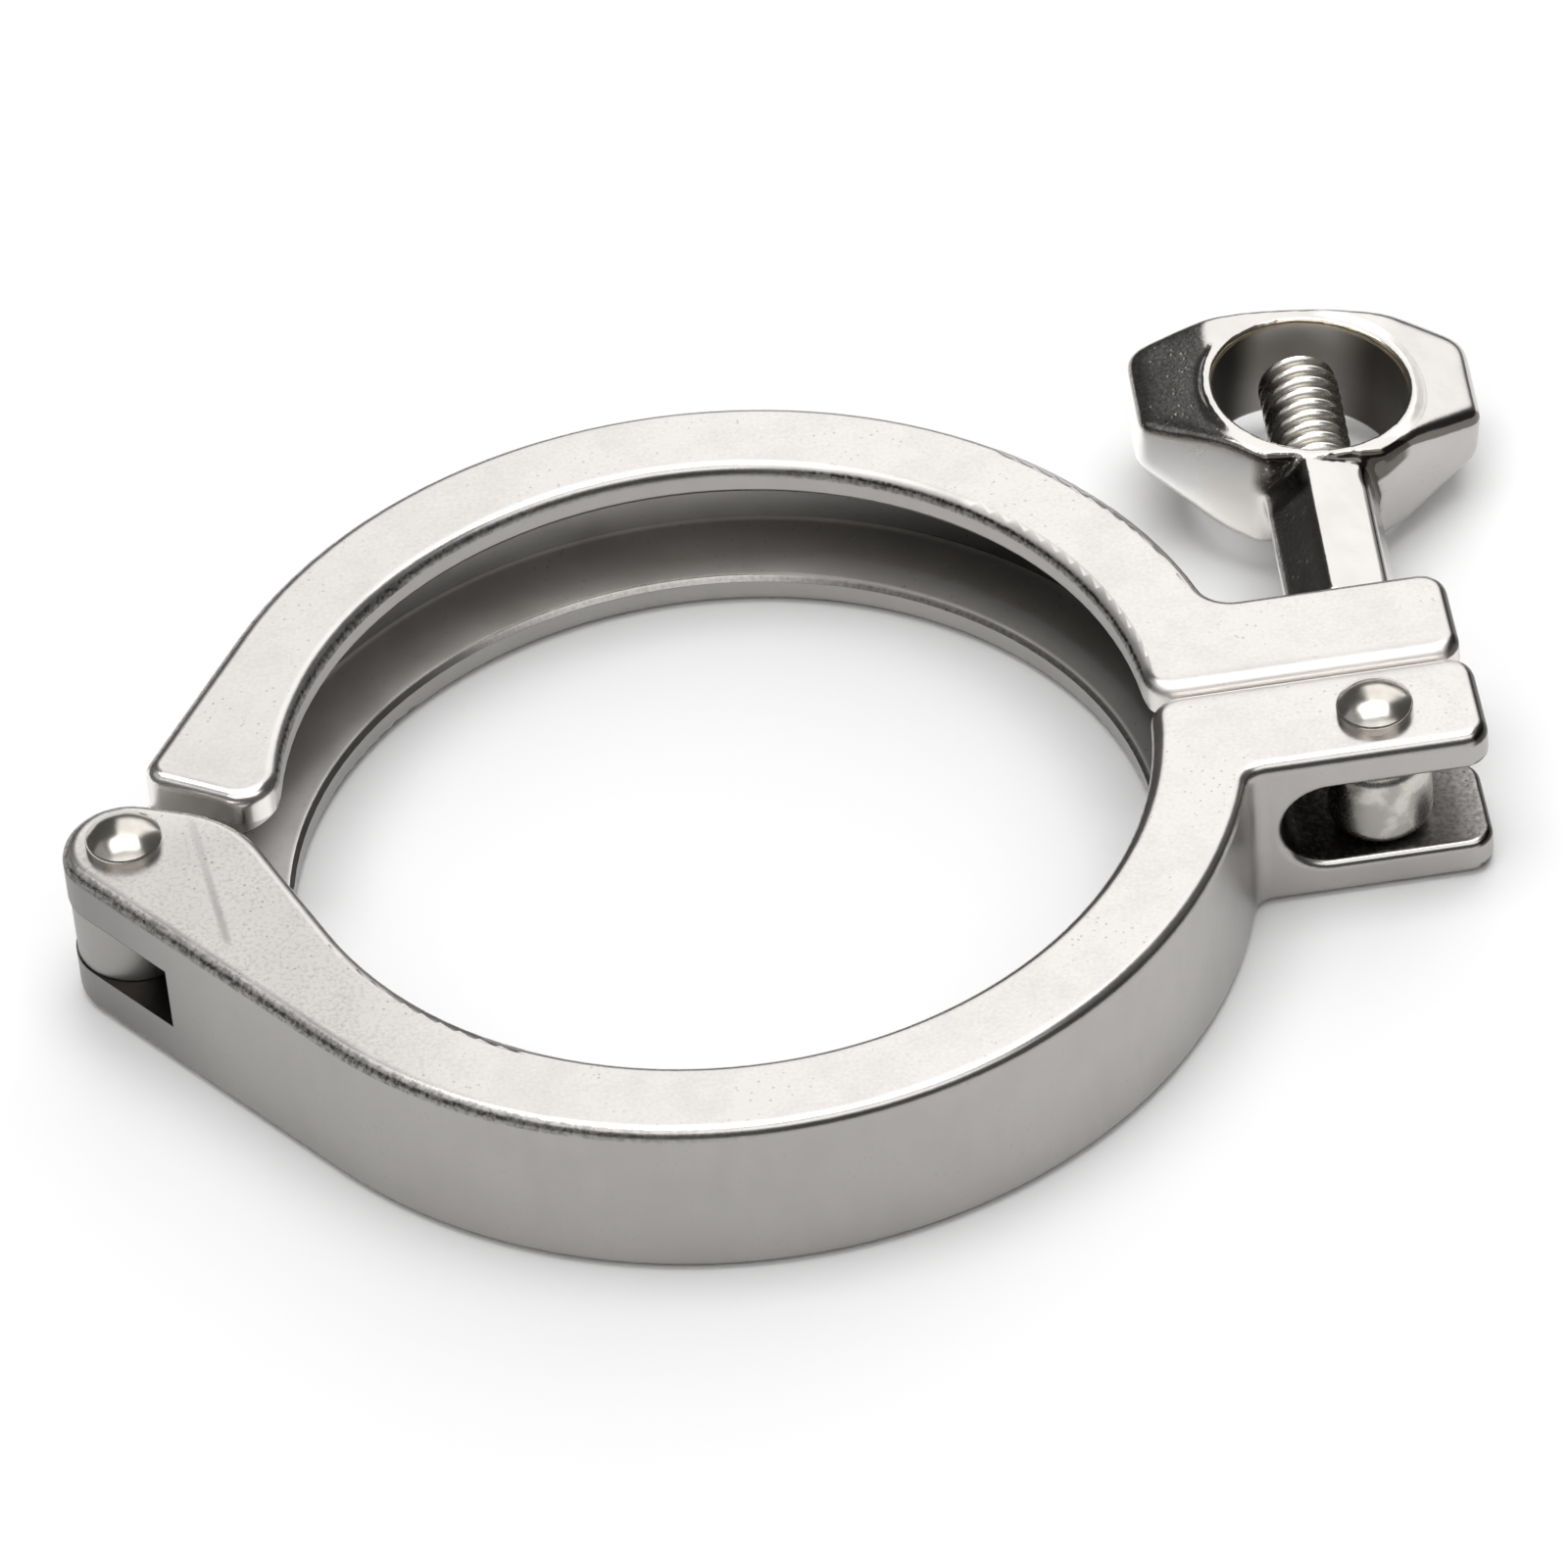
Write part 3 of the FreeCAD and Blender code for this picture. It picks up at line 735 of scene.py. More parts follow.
@dataclass(frozen=True)
class TurnedThread(Steel):
    """A turned bolt with painted shade in the roots of its thread and on its left side, and a darker eye."""

    axis: BoltAxis = BoltAxis()
    crest: float = 4.0
    tone: Triple = (0.90, 0.87, 0.81)
    roughness: float = 0.27
    cloud: Noise = Noise(3.0, 3.0)
    grain: Noise = Noise(0.25, 2.0)
    waves: Noise = Noise(3.0, 1.0)
    wave_depth: float = 0.03
    relief_depth: float = 0.004
    cloud_patches: Span = (0.65, 0.3)
    cloud_mottle: float = 0.2
    mottle_shade: Pair = (0.6, 0.04)
    cloud_rough: float = 0.10
    grain_rough: float = 0.08

    shank_start: Span = (7.0, 9.0)
    # Painted shade in the roots of the thread.
    valley_depth: Span = (-0.28, -0.75)
    valley_end: Span = (52.4, 51.6)
    valley_dark: float = 0.75
    valley_rough: float = 0.15
    # Painted shade on the bolt's left side, in patches.
    left_shade_side: Span = (-0.5, -3.0)
    dark_patches: Span = (0.62, 0.42)
    left_shade_dark: float = 0.5
    dark_shade: Pair = (0.18, 0.08)
    eye_end: Span = (8.0, 6.0)
    eye_darkening: float = 0.6
    eye_mottle: float = 0.4
    eye_shade: Pair = (0.42, 0.0)

    def fill(self, graph: Graph) -> None:
        """Adds the surface's nodes to a graph.

        Args:
            graph: Graph of the material.
        """
        place = graph.place()
        x, y, z = graph.split(place)
        cloud = graph.noise(place, self.cloud)
        grain = graph.noise(place, self.grain)
        patches = cloud.ease(*self.dark_patches)
        aside = self.axis.beside(x, y)
        above_eye = y - self.axis.y
        shank = above_eye.ease(*self.shank_start)
        depth = (aside * aside + z * z) ** 0.5 - self.crest
        # Painted shade in the roots of the thread.
        valley = depth.ease(*self.valley_depth) * shank * y.ease(*self.valley_end)
        # Painted shade on the bolt's left side, in patches.
        left_shade = aside.ease(*self.left_shade_side) * shank * patches
        dark = (valley * self.valley_dark + left_shade * self.left_shade_dark).held()
        # The eye is made darker, in patches.
        eye = above_eye.ease(*self.eye_end) * (patches * self.eye_mottle + self.eye_darkening)
        mottle = cloud.ease(*self.cloud_patches) * self.cloud_mottle
        colour = graph.blend(mottle, self.tone, self.shade(*self.mottle_shade))
        colour = graph.blend(eye, colour, self.shade(*self.eye_shade))
        colour = graph.blend(dark, colour, self.shade(*self.dark_shade))
        rough = (cloud - MEAN) * self.cloud_rough + (grain - MEAN) * self.grain_rough
        rough = rough + valley * self.valley_rough + self.roughness
        waves = graph.relief(graph.noise(place, self.waves), self.wave_depth)
        graph.metal(colour, rough, graph.relief(grain, self.relief_depth, waves))


@dataclass(frozen=True)
class CastNut(Steel):
    """A cast wing nut, polished on its raised rim, with painted shade on its left facets, on its window's
    walls, on its right flank and in the hollows and on the flats by its stem, and painted light on its left
    flank, over its rim's foot and along its window's far edge.
    """

    window: NutWindow = NutWindow()
    roughness: float = 0.17
    cloud: Noise = Noise(5.0, 3.0, 0.55)
    grain: Noise = Noise(0.4, 2.0, 0.6)
    waves: Noise = Noise(6.0, 1.0)
    wave_depth: float = 0.05
    relief_depth: float = 0.008
    cloud_patches: Span = (0.66, 0.3)
    cloud_mottle: float = 0.2
    mottle_shade: Pair = (0.6, 0.02)
    speck_size: float = 0.8
    speck_core: Span = (0.30, 0.10)
    speck_patches: Span = (0.46, 0.56)
    # Where the painted sparkles lie.
    sparkle_grain: Span = (0.60, 0.72)
    sparkle_radius: Span = (15.0, 11.0)

    hole_edge: Span = (0.4, 0.1)
    hole_height: Span = (5.6, 5.2)
    # Painted shade on the window's walls, darkest on its left wall.
    wall_facing: Span = (0.3, 0.8)
    wall_dark: float = 0.93
    left_wall: Span = (-0.1, 0.3)
    left_wall_shade: Pair = (0.045, 0.10)
    # A painted highlight in gold along the window's far inner edge.
    glint_edge: Triple = (-0.2, 0.45, 0.1)
    glint_reach: Span = (-2.0, 3.0)
    glint_level: Triple = (0.1, 0.93, 0.05)
    glint_share: float = 0.6
    glint_colour: Triple = (0.60, 0.50, 0.34)

    # Painted shade on the left facets, darker towards the left wing, with grain and painted sparkles.
    facet_tilt: Span = (-0.22, -0.30)
    facet_level: Span = (0.25, 0.40)
    facet_start: Span = (-2.0, -5.0)
    facet_share: float = 0.65
    facet_share_at_wing: float = 0.35
    facet_shade_dark: float = 0.66
    facet_shade_grain: float = 1.4
    facet_shade_tone: Pair = (0.22, 0.05)

    # Painted light on the left flank, painted shade on the right flank and on the lower flanks near the stem,
    # and painted light over the rim's foot on the right wing.
    flank_level: Span = (0.30, 0.10)
    left_flank: Span = (0.1, -0.2)
    left_flank_shade: Pair = (1.75, 0.0)
    right_flank: Span = (0.2, 0.5)
    right_flank_share: float = 0.35
    right_flank_shade: Pair = (0.5, 0.0)
    under_reach: Span = (-14.0, -6.0)
    under_height: Span = (3.0, -1.0)
    under_share: float = 0.35
    under_shade: Pair = (0.7, 0.0)
    foot_edge: Triple = (0.8, 1.9, 0.15)
    foot_side: Span = (1.5, 4.0)
    foot_reach: Span = (-9.0, -7.5)
    foot_height: Span = (2.0, 3.0)
    foot_painted_light: float = 0.9
    foot_shade: Pair = (1.58, 0.0)

    # Painted shade over the right wing's brow, in the hollows beside the stem and on the stem's flats and
    # ridge.
    brow_off_rim: Span = (1.8, 2.4)
    brow_below: Span = (-9.0, -10.0)
    brow_level: Triple = (0.15, 0.94, 0.04)
    brow_stemward: Span = (-0.10, -0.25)
    brow_rightward: Span = (-0.05, 0.10)
    brow_dark: float = 0.85
    nook_left: Pair = (0.4, 0.1)
    nook_right: Pair = (-0.345, 7.53)
    nook_soft: Span = (-0.3, 0.3)
    nook_level: Span = (0.98, 0.92)
    nook_side: Triple = (3.6, 10.5, 0.4)
    nook_reach: Triple = (-16.0, -9.2, 0.4)
    nook_dark: float = 0.85
    neck_reach: Span = (-15.0, -13.0)
    neck_side: Span = (7.5, 6.5)
    neck_tilt: Span = (0.25, 0.45)
    neck_level: Span = (0.0, 0.3)
    neck_dark: float = 0.8
    ridge_tilt: Triple = (0.28, 0.75, 0.05)
    ridge_level: Span = (0.2, 0.4)
    ridge_reach: Span = (-10.5, -11.5)
    ridge_dark: float = 0.8
    bay_side: Triple = (-7.0, -2.5, 0.8)
    bay_reach: Triple = (-15.0, -9.8, 0.6)
    bay_level: Span = (0.97, 0.90)
    bay_height: Span = (0.5, 2.5)
    bay_dark: float = 0.85
    stem_reach: Span = (-13.0, -14.5)
    stem_tilt: Span = (-0.3, -0.5)
    stem_level: Span = (0.2, 0.35)
    stem_dark: float = 0.4
    dark_shade: Pair = (0.10, 0.10)

    cloud_rough: float = 0.08
    grain_rough: float = 0.06
    facet_rough: float = 0.02
    hole_rough: float = 0.38
    flank_rough: float = 0.12
    foot_rough: float = 0.45
    grain_relief: float = 0.4
    facet_relief: float = 1.2
    speck_relief: float = 1.5

    def fill(self, graph: Graph) -> None:
        """Adds the surface's nodes to a graph.

        Args:
            graph: Graph of the material.
        """
        surface = NutSurface(graph, self)
        roughness = (surface.roughness() + self.roughness).held()
        graph.metal(surface.colour(), roughness, surface.normal())


class NutSurface:
    """The masks of the nut's surface, each from 0 to 1, and what is mixed from them.

    Places are measured from the window: aside to the right wing, along away from the
    stem, height along the window's axis, and outward from its wall. Tilt and level are
    the surface's direction to the right wing and along the window's axis.
    """

    def __init__(self, graph: Graph, nut: CastNut) -> None:
        """Lays out the masks.

        Args:
            graph: Graph of the nut's material.
            nut: The finish, with its sizes and shares.
        """
        self.graph = graph
        self.nut = nut
        window = nut.window
        place = graph.place()
        x, y, z = graph.split(place)
        self.nx, self.ny, nz = graph.facing()
        self.cloud = graph.noise(place, nut.cloud)
        self.grain = graph.noise(place, nut.grain)
        self.waves = graph.noise(place, nut.waves)
        self.along = y - window.y
        self.aside = window.aside(x - window.x, z)
        self.height = window.level(x - window.x, z)
        self.tilt = window.aside(self.nx, nz)
        self.level = window.level(self.nx, nz)
        radius = (self.aside * self.aside + self.along * self.along) ** 0.5
        self.outward = radius - window.radius
        self.hole = self.outward.ease(*nut.hole_edge) * abs(self.height).ease(*nut.hole_height)
        # Painted shade on the window's inner walls, most on its sides.
        self.walls = self.hole * abs(self.nx).ease(*nut.wall_facing) * nut.wall_dark
        self.flank = abs(self.level).ease(*nut.flank_level) * (1.0 - self.hole)
        facet = self.aside.ease(*nut.facet_start) * nut.facet_share_at_wing + nut.facet_share
        self.facet = facet * self.tilt.ease(*nut.facet_tilt) * self.level.ease(*nut.facet_level)
        dots = graph.cells(place, nut.speck_size).ease(*nut.speck_core)
        self.speck = dots * self.cloud.ease(*nut.speck_patches)
        # Painted sparkles: grains of painted highlight near the window, which lighten the painted shade.
        self.painted_sparkle = self.grain.ease(*nut.sparkle_grain) * radius.ease(*nut.sparkle_radius)
        foot = self.outward.band(*nut.foot_edge) * self.aside.ease(*nut.foot_side)
        self.foot = foot * self.along.ease(*nut.foot_reach) * self.height.ease(*nut.foot_height)

    def brow(self) -> Signal:
        """Marks the edge over the right wing's lower flank, off the window's rim.

        Returns:
            The mask.
        """
        nut = self.nut
        off_rim = (self.outward.ease(*nut.brow_off_rim) + self.along.ease(*nut.brow_below)).held()
        facing = self.ny.ease(*nut.brow_stemward) * self.nx.ease(*nut.brow_rightward)
        return self.level.band(*nut.brow_level) * facing * off_rim

    def nook(self) -> Signal:
        """Marks the hollow between the stem and the right wing, over a bent line.

        Returns:
            The mask.
        """
        nut = self.nut
        (left_slope, left_start), (right_slope, right_start) = nut.nook_left, nut.nook_right
        line = (self.aside * left_slope + left_start).math("MINIMUM", self.aside * right_slope + right_start)
        nook = (self.height - line).ease(*nut.nook_soft) * self.level.ease(*nut.nook_level)
        return nook * self.aside.band(*nut.nook_side) * self.along.band(*nut.nook_reach)

    def neck(self) -> Signal:
        """Marks the stem's right flat where it meets the head.

        Returns:
            The mask.
        """
        nut = self.nut
        neck = self.along.ease(*nut.neck_reach) * self.aside.ease(*nut.neck_side)
        return neck * self.tilt.ease(*nut.neck_tilt) * self.level.ease(*nut.neck_level)

    def ridge(self) -> Signal:
        """Marks the rounded edge beside the stem's top flat.

        Returns:
            The mask.
        """
        nut = self.nut
        ridge = self.tilt.band(*nut.ridge_tilt) * self.level.ease(*nut.ridge_level)
        return ridge * self.along.ease(*nut.ridge_reach)

    def bay(self) -> Signal:
        """Marks the hollow between the stem and the left wing with painted shade, broken by painted sparkles.

        Returns:
            The hollow's share of painted shade.
        """
        nut = self.nut
        bay = self.aside.band(*nut.bay_side) * self.along.band(*nut.bay_reach)
        bay = bay * self.level.ease(*nut.bay_level) * self.height.ease(*nut.bay_height)
        return bay * (nut.bay_dark - self.painted_sparkle)

    def stem_side(self) -> Signal:
        """Marks the stem's left flat.

        Returns:
            The mask.
        """
        nut = self.nut
        side = self.tilt.ease(*nut.stem_tilt) * self.level.ease(*nut.stem_level)
        return side * self.along.ease(*nut.stem_reach)

    def painted_shade(self) -> Signal:
        """Gathers the painted shade: on the window's walls, over the right wing's brow, in the hollows beside
        the stem and on the stem's flats and ridge.

        Returns:
            The share of painted shade, from 0 to 1.
        """
        nut = self.nut
        # Painted shade on the window's walls, over the brow, in the hollows beside the stem and on the stem's
        # flats and ridge.
        dark = self.walls + self.brow() * nut.brow_dark + self.nook() * nut.nook_dark
        dark = dark + self.neck() * nut.neck_dark + self.ridge() * nut.ridge_dark
        return (dark + self.bay() + self.stem_side() * nut.stem_dark).held()

    def colour(self) -> Signal:
        """Mixes the nut's colour from its plain tone outwards.

        Returns:
            The colour.
        """
        nut, graph = self.nut, self.graph
        # Painted shade on the lower flanks near the stem.
        under = self.flank * self.aside.ease(*nut.under_reach) * self.height.ease(*nut.under_height)
        # Painted shade on the left facets, with grain, broken by painted sparkles.
        facet_shade = (self.grain - MEAN) * nut.facet_shade_grain + nut.facet_shade_dark - self.painted_sparkle
        # A painted highlight in gold along the window's far inner edge.
        painted_glint = self.outward.band(*nut.glint_edge) * self.along.ease(*nut.glint_reach)
        layers = (
            (self.cloud.ease(*nut.cloud_patches) * nut.cloud_mottle, nut.mottle_shade),
            # Painted light on the left flank and painted shade on the right flank.
            (self.flank * self.nx.ease(*nut.left_flank), nut.left_flank_shade),
            (self.flank * self.nx.ease(*nut.right_flank) * nut.right_flank_share, nut.right_flank_shade),
            (under * nut.under_share, nut.under_shade),
            # Painted light over the rim's foot on the right wing, hiding a dark line.
            (self.foot * nut.foot_painted_light, nut.foot_shade),
            ((self.facet * facet_shade).held(), nut.facet_shade_tone),
            (self.painted_shade(), nut.dark_shade),
            # Painted shade, darker still, on the window's left wall.
            (self.walls * self.nx.ease(*nut.left_wall), nut.left_wall_shade),
        )
        colour: Any = nut.tone
        for factor, shade in layers:
            colour = graph.blend(factor, colour, nut.shade(*shade))
        painted_glint = painted_glint * self.level.band(*nut.glint_level) * nut.glint_share
        return graph.blend(painted_glint, colour, nut.glint_colour)

    def roughness(self) -> Signal:
        """Gives what the roughness differs from its mean.

        Returns:
            The difference.
        """
        nut = self.nut
        rough = (self.cloud - MEAN) * nut.cloud_rough + (self.grain - MEAN) * nut.grain_rough
        rough = rough + self.facet * nut.facet_rough + self.hole * nut.hole_rough
        return rough + self.flank * nut.flank_rough + self.foot * nut.foot_rough

    def normal(self) -> Signal:
        """Lays the casting's grain and specks over slow waves.

        Returns:
            The normal.
        """
        nut, graph = self.nut, self.graph
        waves = graph.relief(self.waves, nut.wave_depth)
        height = self.grain * (self.facet * nut.facet_relief + nut.grain_relief)
        return graph.relief(height - self.speck * self.facet * nut.speck_relief, nut.relief_depth, waves)


class Pick(Enum):
    """What an edit-mode selection is made of."""

    VERTS = "VERT"
    EDGES = "EDGE"
    FACES = "FACE"


class Kept(Enum):
    """What is kept of two solids that are combined."""

    BOTH = "UNION"
    SHARED = "INTERSECT"


def select_only(thing: bpy.types.Object) -> None:
    """Makes one object the only selected and the active one, in object mode.

    Args:
        thing: The object.
    """
    if bpy.context.object and bpy.context.object.mode != "OBJECT":
        bpy.ops.object.mode_set(mode="OBJECT")
    bpy.ops.object.select_all(action="DESELECT")
    thing.select_set(True)
    bpy.context.view_layer.objects.active = thing


def edit(thing: bpy.types.Object, pick: Pick = Pick.FACES, test: Callable[[Any], bool] | None = None) -> None:
    """Enters edit mode with chosen elements selected.

    Args:
        thing: The mesh object.
        pick: Kind of element that is selected.
        test: Tells of an element whether it is selected; all are where it is left out.
    """
    select_only(thing)
    bpy.ops.object.mode_set(mode="EDIT")
    bpy.ops.mesh.select_mode(type=pick.value)
    bpy.ops.mesh.select_all(action="DESELECT" if test else "SELECT")
    if test:
        bpy.ops.object.mode_set(mode="OBJECT")
        mesh = thing.data
        elements = {Pick.VERTS: mesh.vertices, Pick.EDGES: mesh.edges, Pick.FACES: mesh.polygons}[pick]
        for element in elements:
            element.select = test(element)
        bpy.ops.object.mode_set(mode="EDIT")


def leave() -> None:
    """Leaves edit mode."""
    bpy.ops.mesh.select_mode(type="VERT")
    bpy.ops.object.mode_set(mode="OBJECT")


def weld(thing: bpy.types.Object, reach: float) -> None:
    """Merges an object's points that lie within a reach of each other.

    Args:
        thing: The mesh object.
        reach: The reach, in metres.
    """
    edit(thing, Pick.VERTS)
    bpy.ops.mesh.remove_doubles(threshold=reach)
    leave()


def apply_modifier(thing: bpy.types.Object, kind: str, **settings: Any) -> None:
    """Adds a modifier to an object and applies it.

    Args:
        thing: The object.
        kind: Type of the modifier.
        settings: Its values.
    """
    select_only(thing)
    modifier = thing.modifiers.new(kind.lower(), kind)
    for name, value in settings.items():
        setattr(modifier, name, value)
    bpy.ops.object.modifier_apply(modifier=modifier.name)


def combine(thing: bpy.types.Object, tool: bpy.types.Object, kept: Kept) -> None:
    """Joins an object to another, or trims it by another, which is used up."""
    apply_modifier(thing, "BOOLEAN", object=tool, operation=kept.value, solver="EXACT")
    bpy.data.objects.remove(tool)


def seat(piece: bpy.types.Object, steel: Steel, material: str, node: str, body: str) -> None:
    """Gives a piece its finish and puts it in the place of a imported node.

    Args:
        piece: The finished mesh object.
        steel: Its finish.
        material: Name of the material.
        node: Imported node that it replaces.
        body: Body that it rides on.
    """
    piece.data.materials.clear()
    piece.data.materials.append(steel.material(material))
    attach(piece, body)
    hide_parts(node)


@dataclass
class SwingBolt:
    """The eye bolt, whose thread is cut for real; it is modelled along +Z from its pin.

    The flank is the thread's rising side, as steps out and along: shares of its depth and
    its pitch. The phase is where in a pitch the thread starts.
    """

    axis: BoltAxis = BoltAxis()
    crest: float = 4.0 * MM
    root: float = 3.1 * MM
    pitch: float = 1.69 * MM
    phase: float = 1.28
    spare_turns: int = 3
    flank: tuple[Pair, ...] = ((0.0, 0.03), (0.30, 0.08), (0.45, 0.13), (0.20, 0.14), (0.05, 0.12))
    start: float = 13.0 * MM
    length: float = 59.2 * MM
    tip_chamfer: float = 0.8 * MM
    blank_slack: float = 0.02 * MM
    run_out: float = 0.1 * MM
    neck_radius: float = 3.6 * MM
    neck_foot: float = 0.5 * MM
    neck_chamfer: float = 0.3 * MM
    eye_radius: float = 5.1 * MM
    eye_height: float = 9.0 * MM
    eye_round: float = 1.8 * MM
    eye_round_steps: int = 10
    neck_chamfer_steps: int = 3
    bore_radius: float = 3.08 * MM
    steps: int = 64
    sides: int = 96
    cut_reach: float = 1e-8
    thread_weld: float = 0.004 * MM
    last_weld: float = 0.0005 * MM
    smooth_angle: float = math.radians(32)
    facing: float = 0.9
    facing_flat: float = 0.999
    finish: Steel = field(default_factory=TurnedThread)

    def profile(self) -> bpy.types.Object:
        """Draws one pitch of the thread's section as a chain of edges beside the Z axis.

        Returns:
            The chain.
        """
        bpy.ops.mesh.primitive_plane_add(size=MM, location=(0, 0, 0))
        chain = bpy.context.object
        edit(chain, Pick.VERTS)
        bpy.ops.mesh.merge(type="CENTER")
        bpy.ops.transform.translate(value=(self.root, 0, 0))
        depth = self.crest - self.root
        runs = [(depth * out, along) for out, along in self.flank]
        runs += [(-out, along) for out, along in reversed(runs)]
        for out, along in runs:
            bpy.ops.mesh.extrude_region_move(TRANSFORM_OT_translate={"value": (out, 0, along * self.pitch)})
        leave()
        return chain

    def thread(self) -> bpy.types.Object:
        """Winds the section into the threaded shank, closed by a flat cut at each end.

        Returns:
            The shank, standing where the bolt's thread starts.
        """
        shank = self.profile()
        turns = math.ceil((self.length - self.start) / self.pitch) + self.spare_turns
        apply_modifier(
            shank, "SCREW", axis="Z", angle=TAU, screw_offset=self.pitch, iterations=turns,
            steps=self.steps, render_steps=self.steps,
        )
        edit(shank, Pick.VERTS)
        bpy.ops.mesh.remove_doubles(threshold=self.thread_weld)
        low = self.phase * self.pitch
        high = low + self.length - self.start
        for height, up in ((low, -1), (high, 1)):
            bpy.ops.mesh.select_all(action="SELECT")
            bpy.ops.mesh.bisect(
                plane_co=(0, 0, height), plane_no=(0, 0, up), use_fill=True, clear_outer=True,
                threshold=self.cut_reach,
            )
        bpy.ops.mesh.select_all(action="SELECT")
        bpy.ops.mesh.normals_make_consistent(inside=False)
        bpy.ops.transform.translate(value=(0, 0, self.start - low))
        leave()
        return shank

    def envelope(self) -> bpy.types.Object:
        """Turns the chamfered blank that the thread's ends run out into.

        Returns:
            The blank.
        """
        depth = self.length - self.start
        bpy.ops.mesh.primitive_cylinder_add(
            vertices=self.sides, radius=self.crest + self.blank_slack, depth=depth + 2 * self.run_out,
            location=(0, 0, self.start + depth / 2 - self.run_out),
        )
        blank = bpy.context.object
        bpy.ops.object.transform_apply(location=True)
        for up, size in ((1, self.tip_chamfer), (-1, self.crest - self.root + self.run_out)):
            edit(blank, Pick.FACES, lambda face, up=up: face.normal.z * up > self.facing)
            bpy.ops.mesh.bevel(offset=size, segments=1, affect="EDGES")
            leave()
        return blank

    def eye(self) -> bpy.types.Object:
        """Turns the drum that swings on the rivet, with rounded rims and a bore across the bolt.

        Returns:
            The drum, with its bore along Y.
        """
        bpy.ops.mesh.primitive_cylinder_add(
            vertices=self.sides, radius=self.eye_radius, depth=self.eye_height, rotation=(math.pi / 2, 0, 0),
        )
        drum = bpy.context.object
        bpy.ops.object.transform_apply(rotation=True)
        edit(drum, Pick.FACES, lambda face: abs(face.normal.y) > self.facing)
        bpy.ops.mesh.bevel(offset=self.eye_round, segments=self.eye_round_steps, affect="EDGES")
        leave()
        edit(drum, Pick.FACES, lambda face: abs(face.normal.y) > self.facing_flat)
        bpy.ops.mesh.inset(thickness=self.eye_radius - self.eye_round - self.bore_radius, use_individual=True)
        bpy.ops.mesh.bridge_edge_loops()
        leave()
        return drum

    def neck(self) -> bpy.types.Object:
        """Turns the plain neck between the eye and the thread.

        Returns:
            The neck.
        """
        bottom = self.bore_radius + self.neck_foot
        top = self.start + self.neck_chamfer
        bpy.ops.mesh.primitive_cylinder_add(
            vertices=self.sides, radius=self.neck_radius, depth=top - bottom,
            location=(0, 0, (top + bottom) / 2),
        )
        neck = bpy.context.object
        bpy.ops.object.transform_apply(location=True)
        edit(neck, Pick.FACES, lambda face: face.normal.z > self.facing)
        bpy.ops.mesh.bevel(offset=self.neck_chamfer, segments=self.neck_chamfer_steps, affect="EDGES")
        leave()
        return neck

    def build(self) -> bpy.types.Object:
        """Joins the eye, the neck and the thread into one closed piece in its place.

        Returns:
            The bolt, without a finish.
        """
        shank = self.thread()
        combine(shank, self.envelope(), Kept.SHARED)
        combine(shank, self.neck(), Kept.BOTH)
        combine(shank, self.eye(), Kept.BOTH)
        pin = Vector((self.axis.x * MM, self.axis.y * MM, 0.0))
        turn = Matrix.Translation(pin) @ Matrix.Rotation(-self.axis.lean, 4, "Z")
        shank.matrix_world = turn @ Matrix.Rotation(-math.pi / 2, 4, "X")
        select_only(shank)
        bpy.ops.object.transform_apply(location=True, rotation=True, scale=True)
        weld(shank, self.last_weld)
        bpy.ops.object.shade_smooth_by_angle(angle=self.smooth_angle)
        shank.name = "threaded_swing_bolt"
        return shank

    def dress(self) -> bpy.types.Object:
        """Builds the bolt, gives it its finish and seats it in the frame.

        Returns:
            The finished bolt.
        """
        bolt = self.build()
        seat(bolt, self.finish, "turned_bolt_steel", node="swing_bolt", body="bolt")
        return bolt


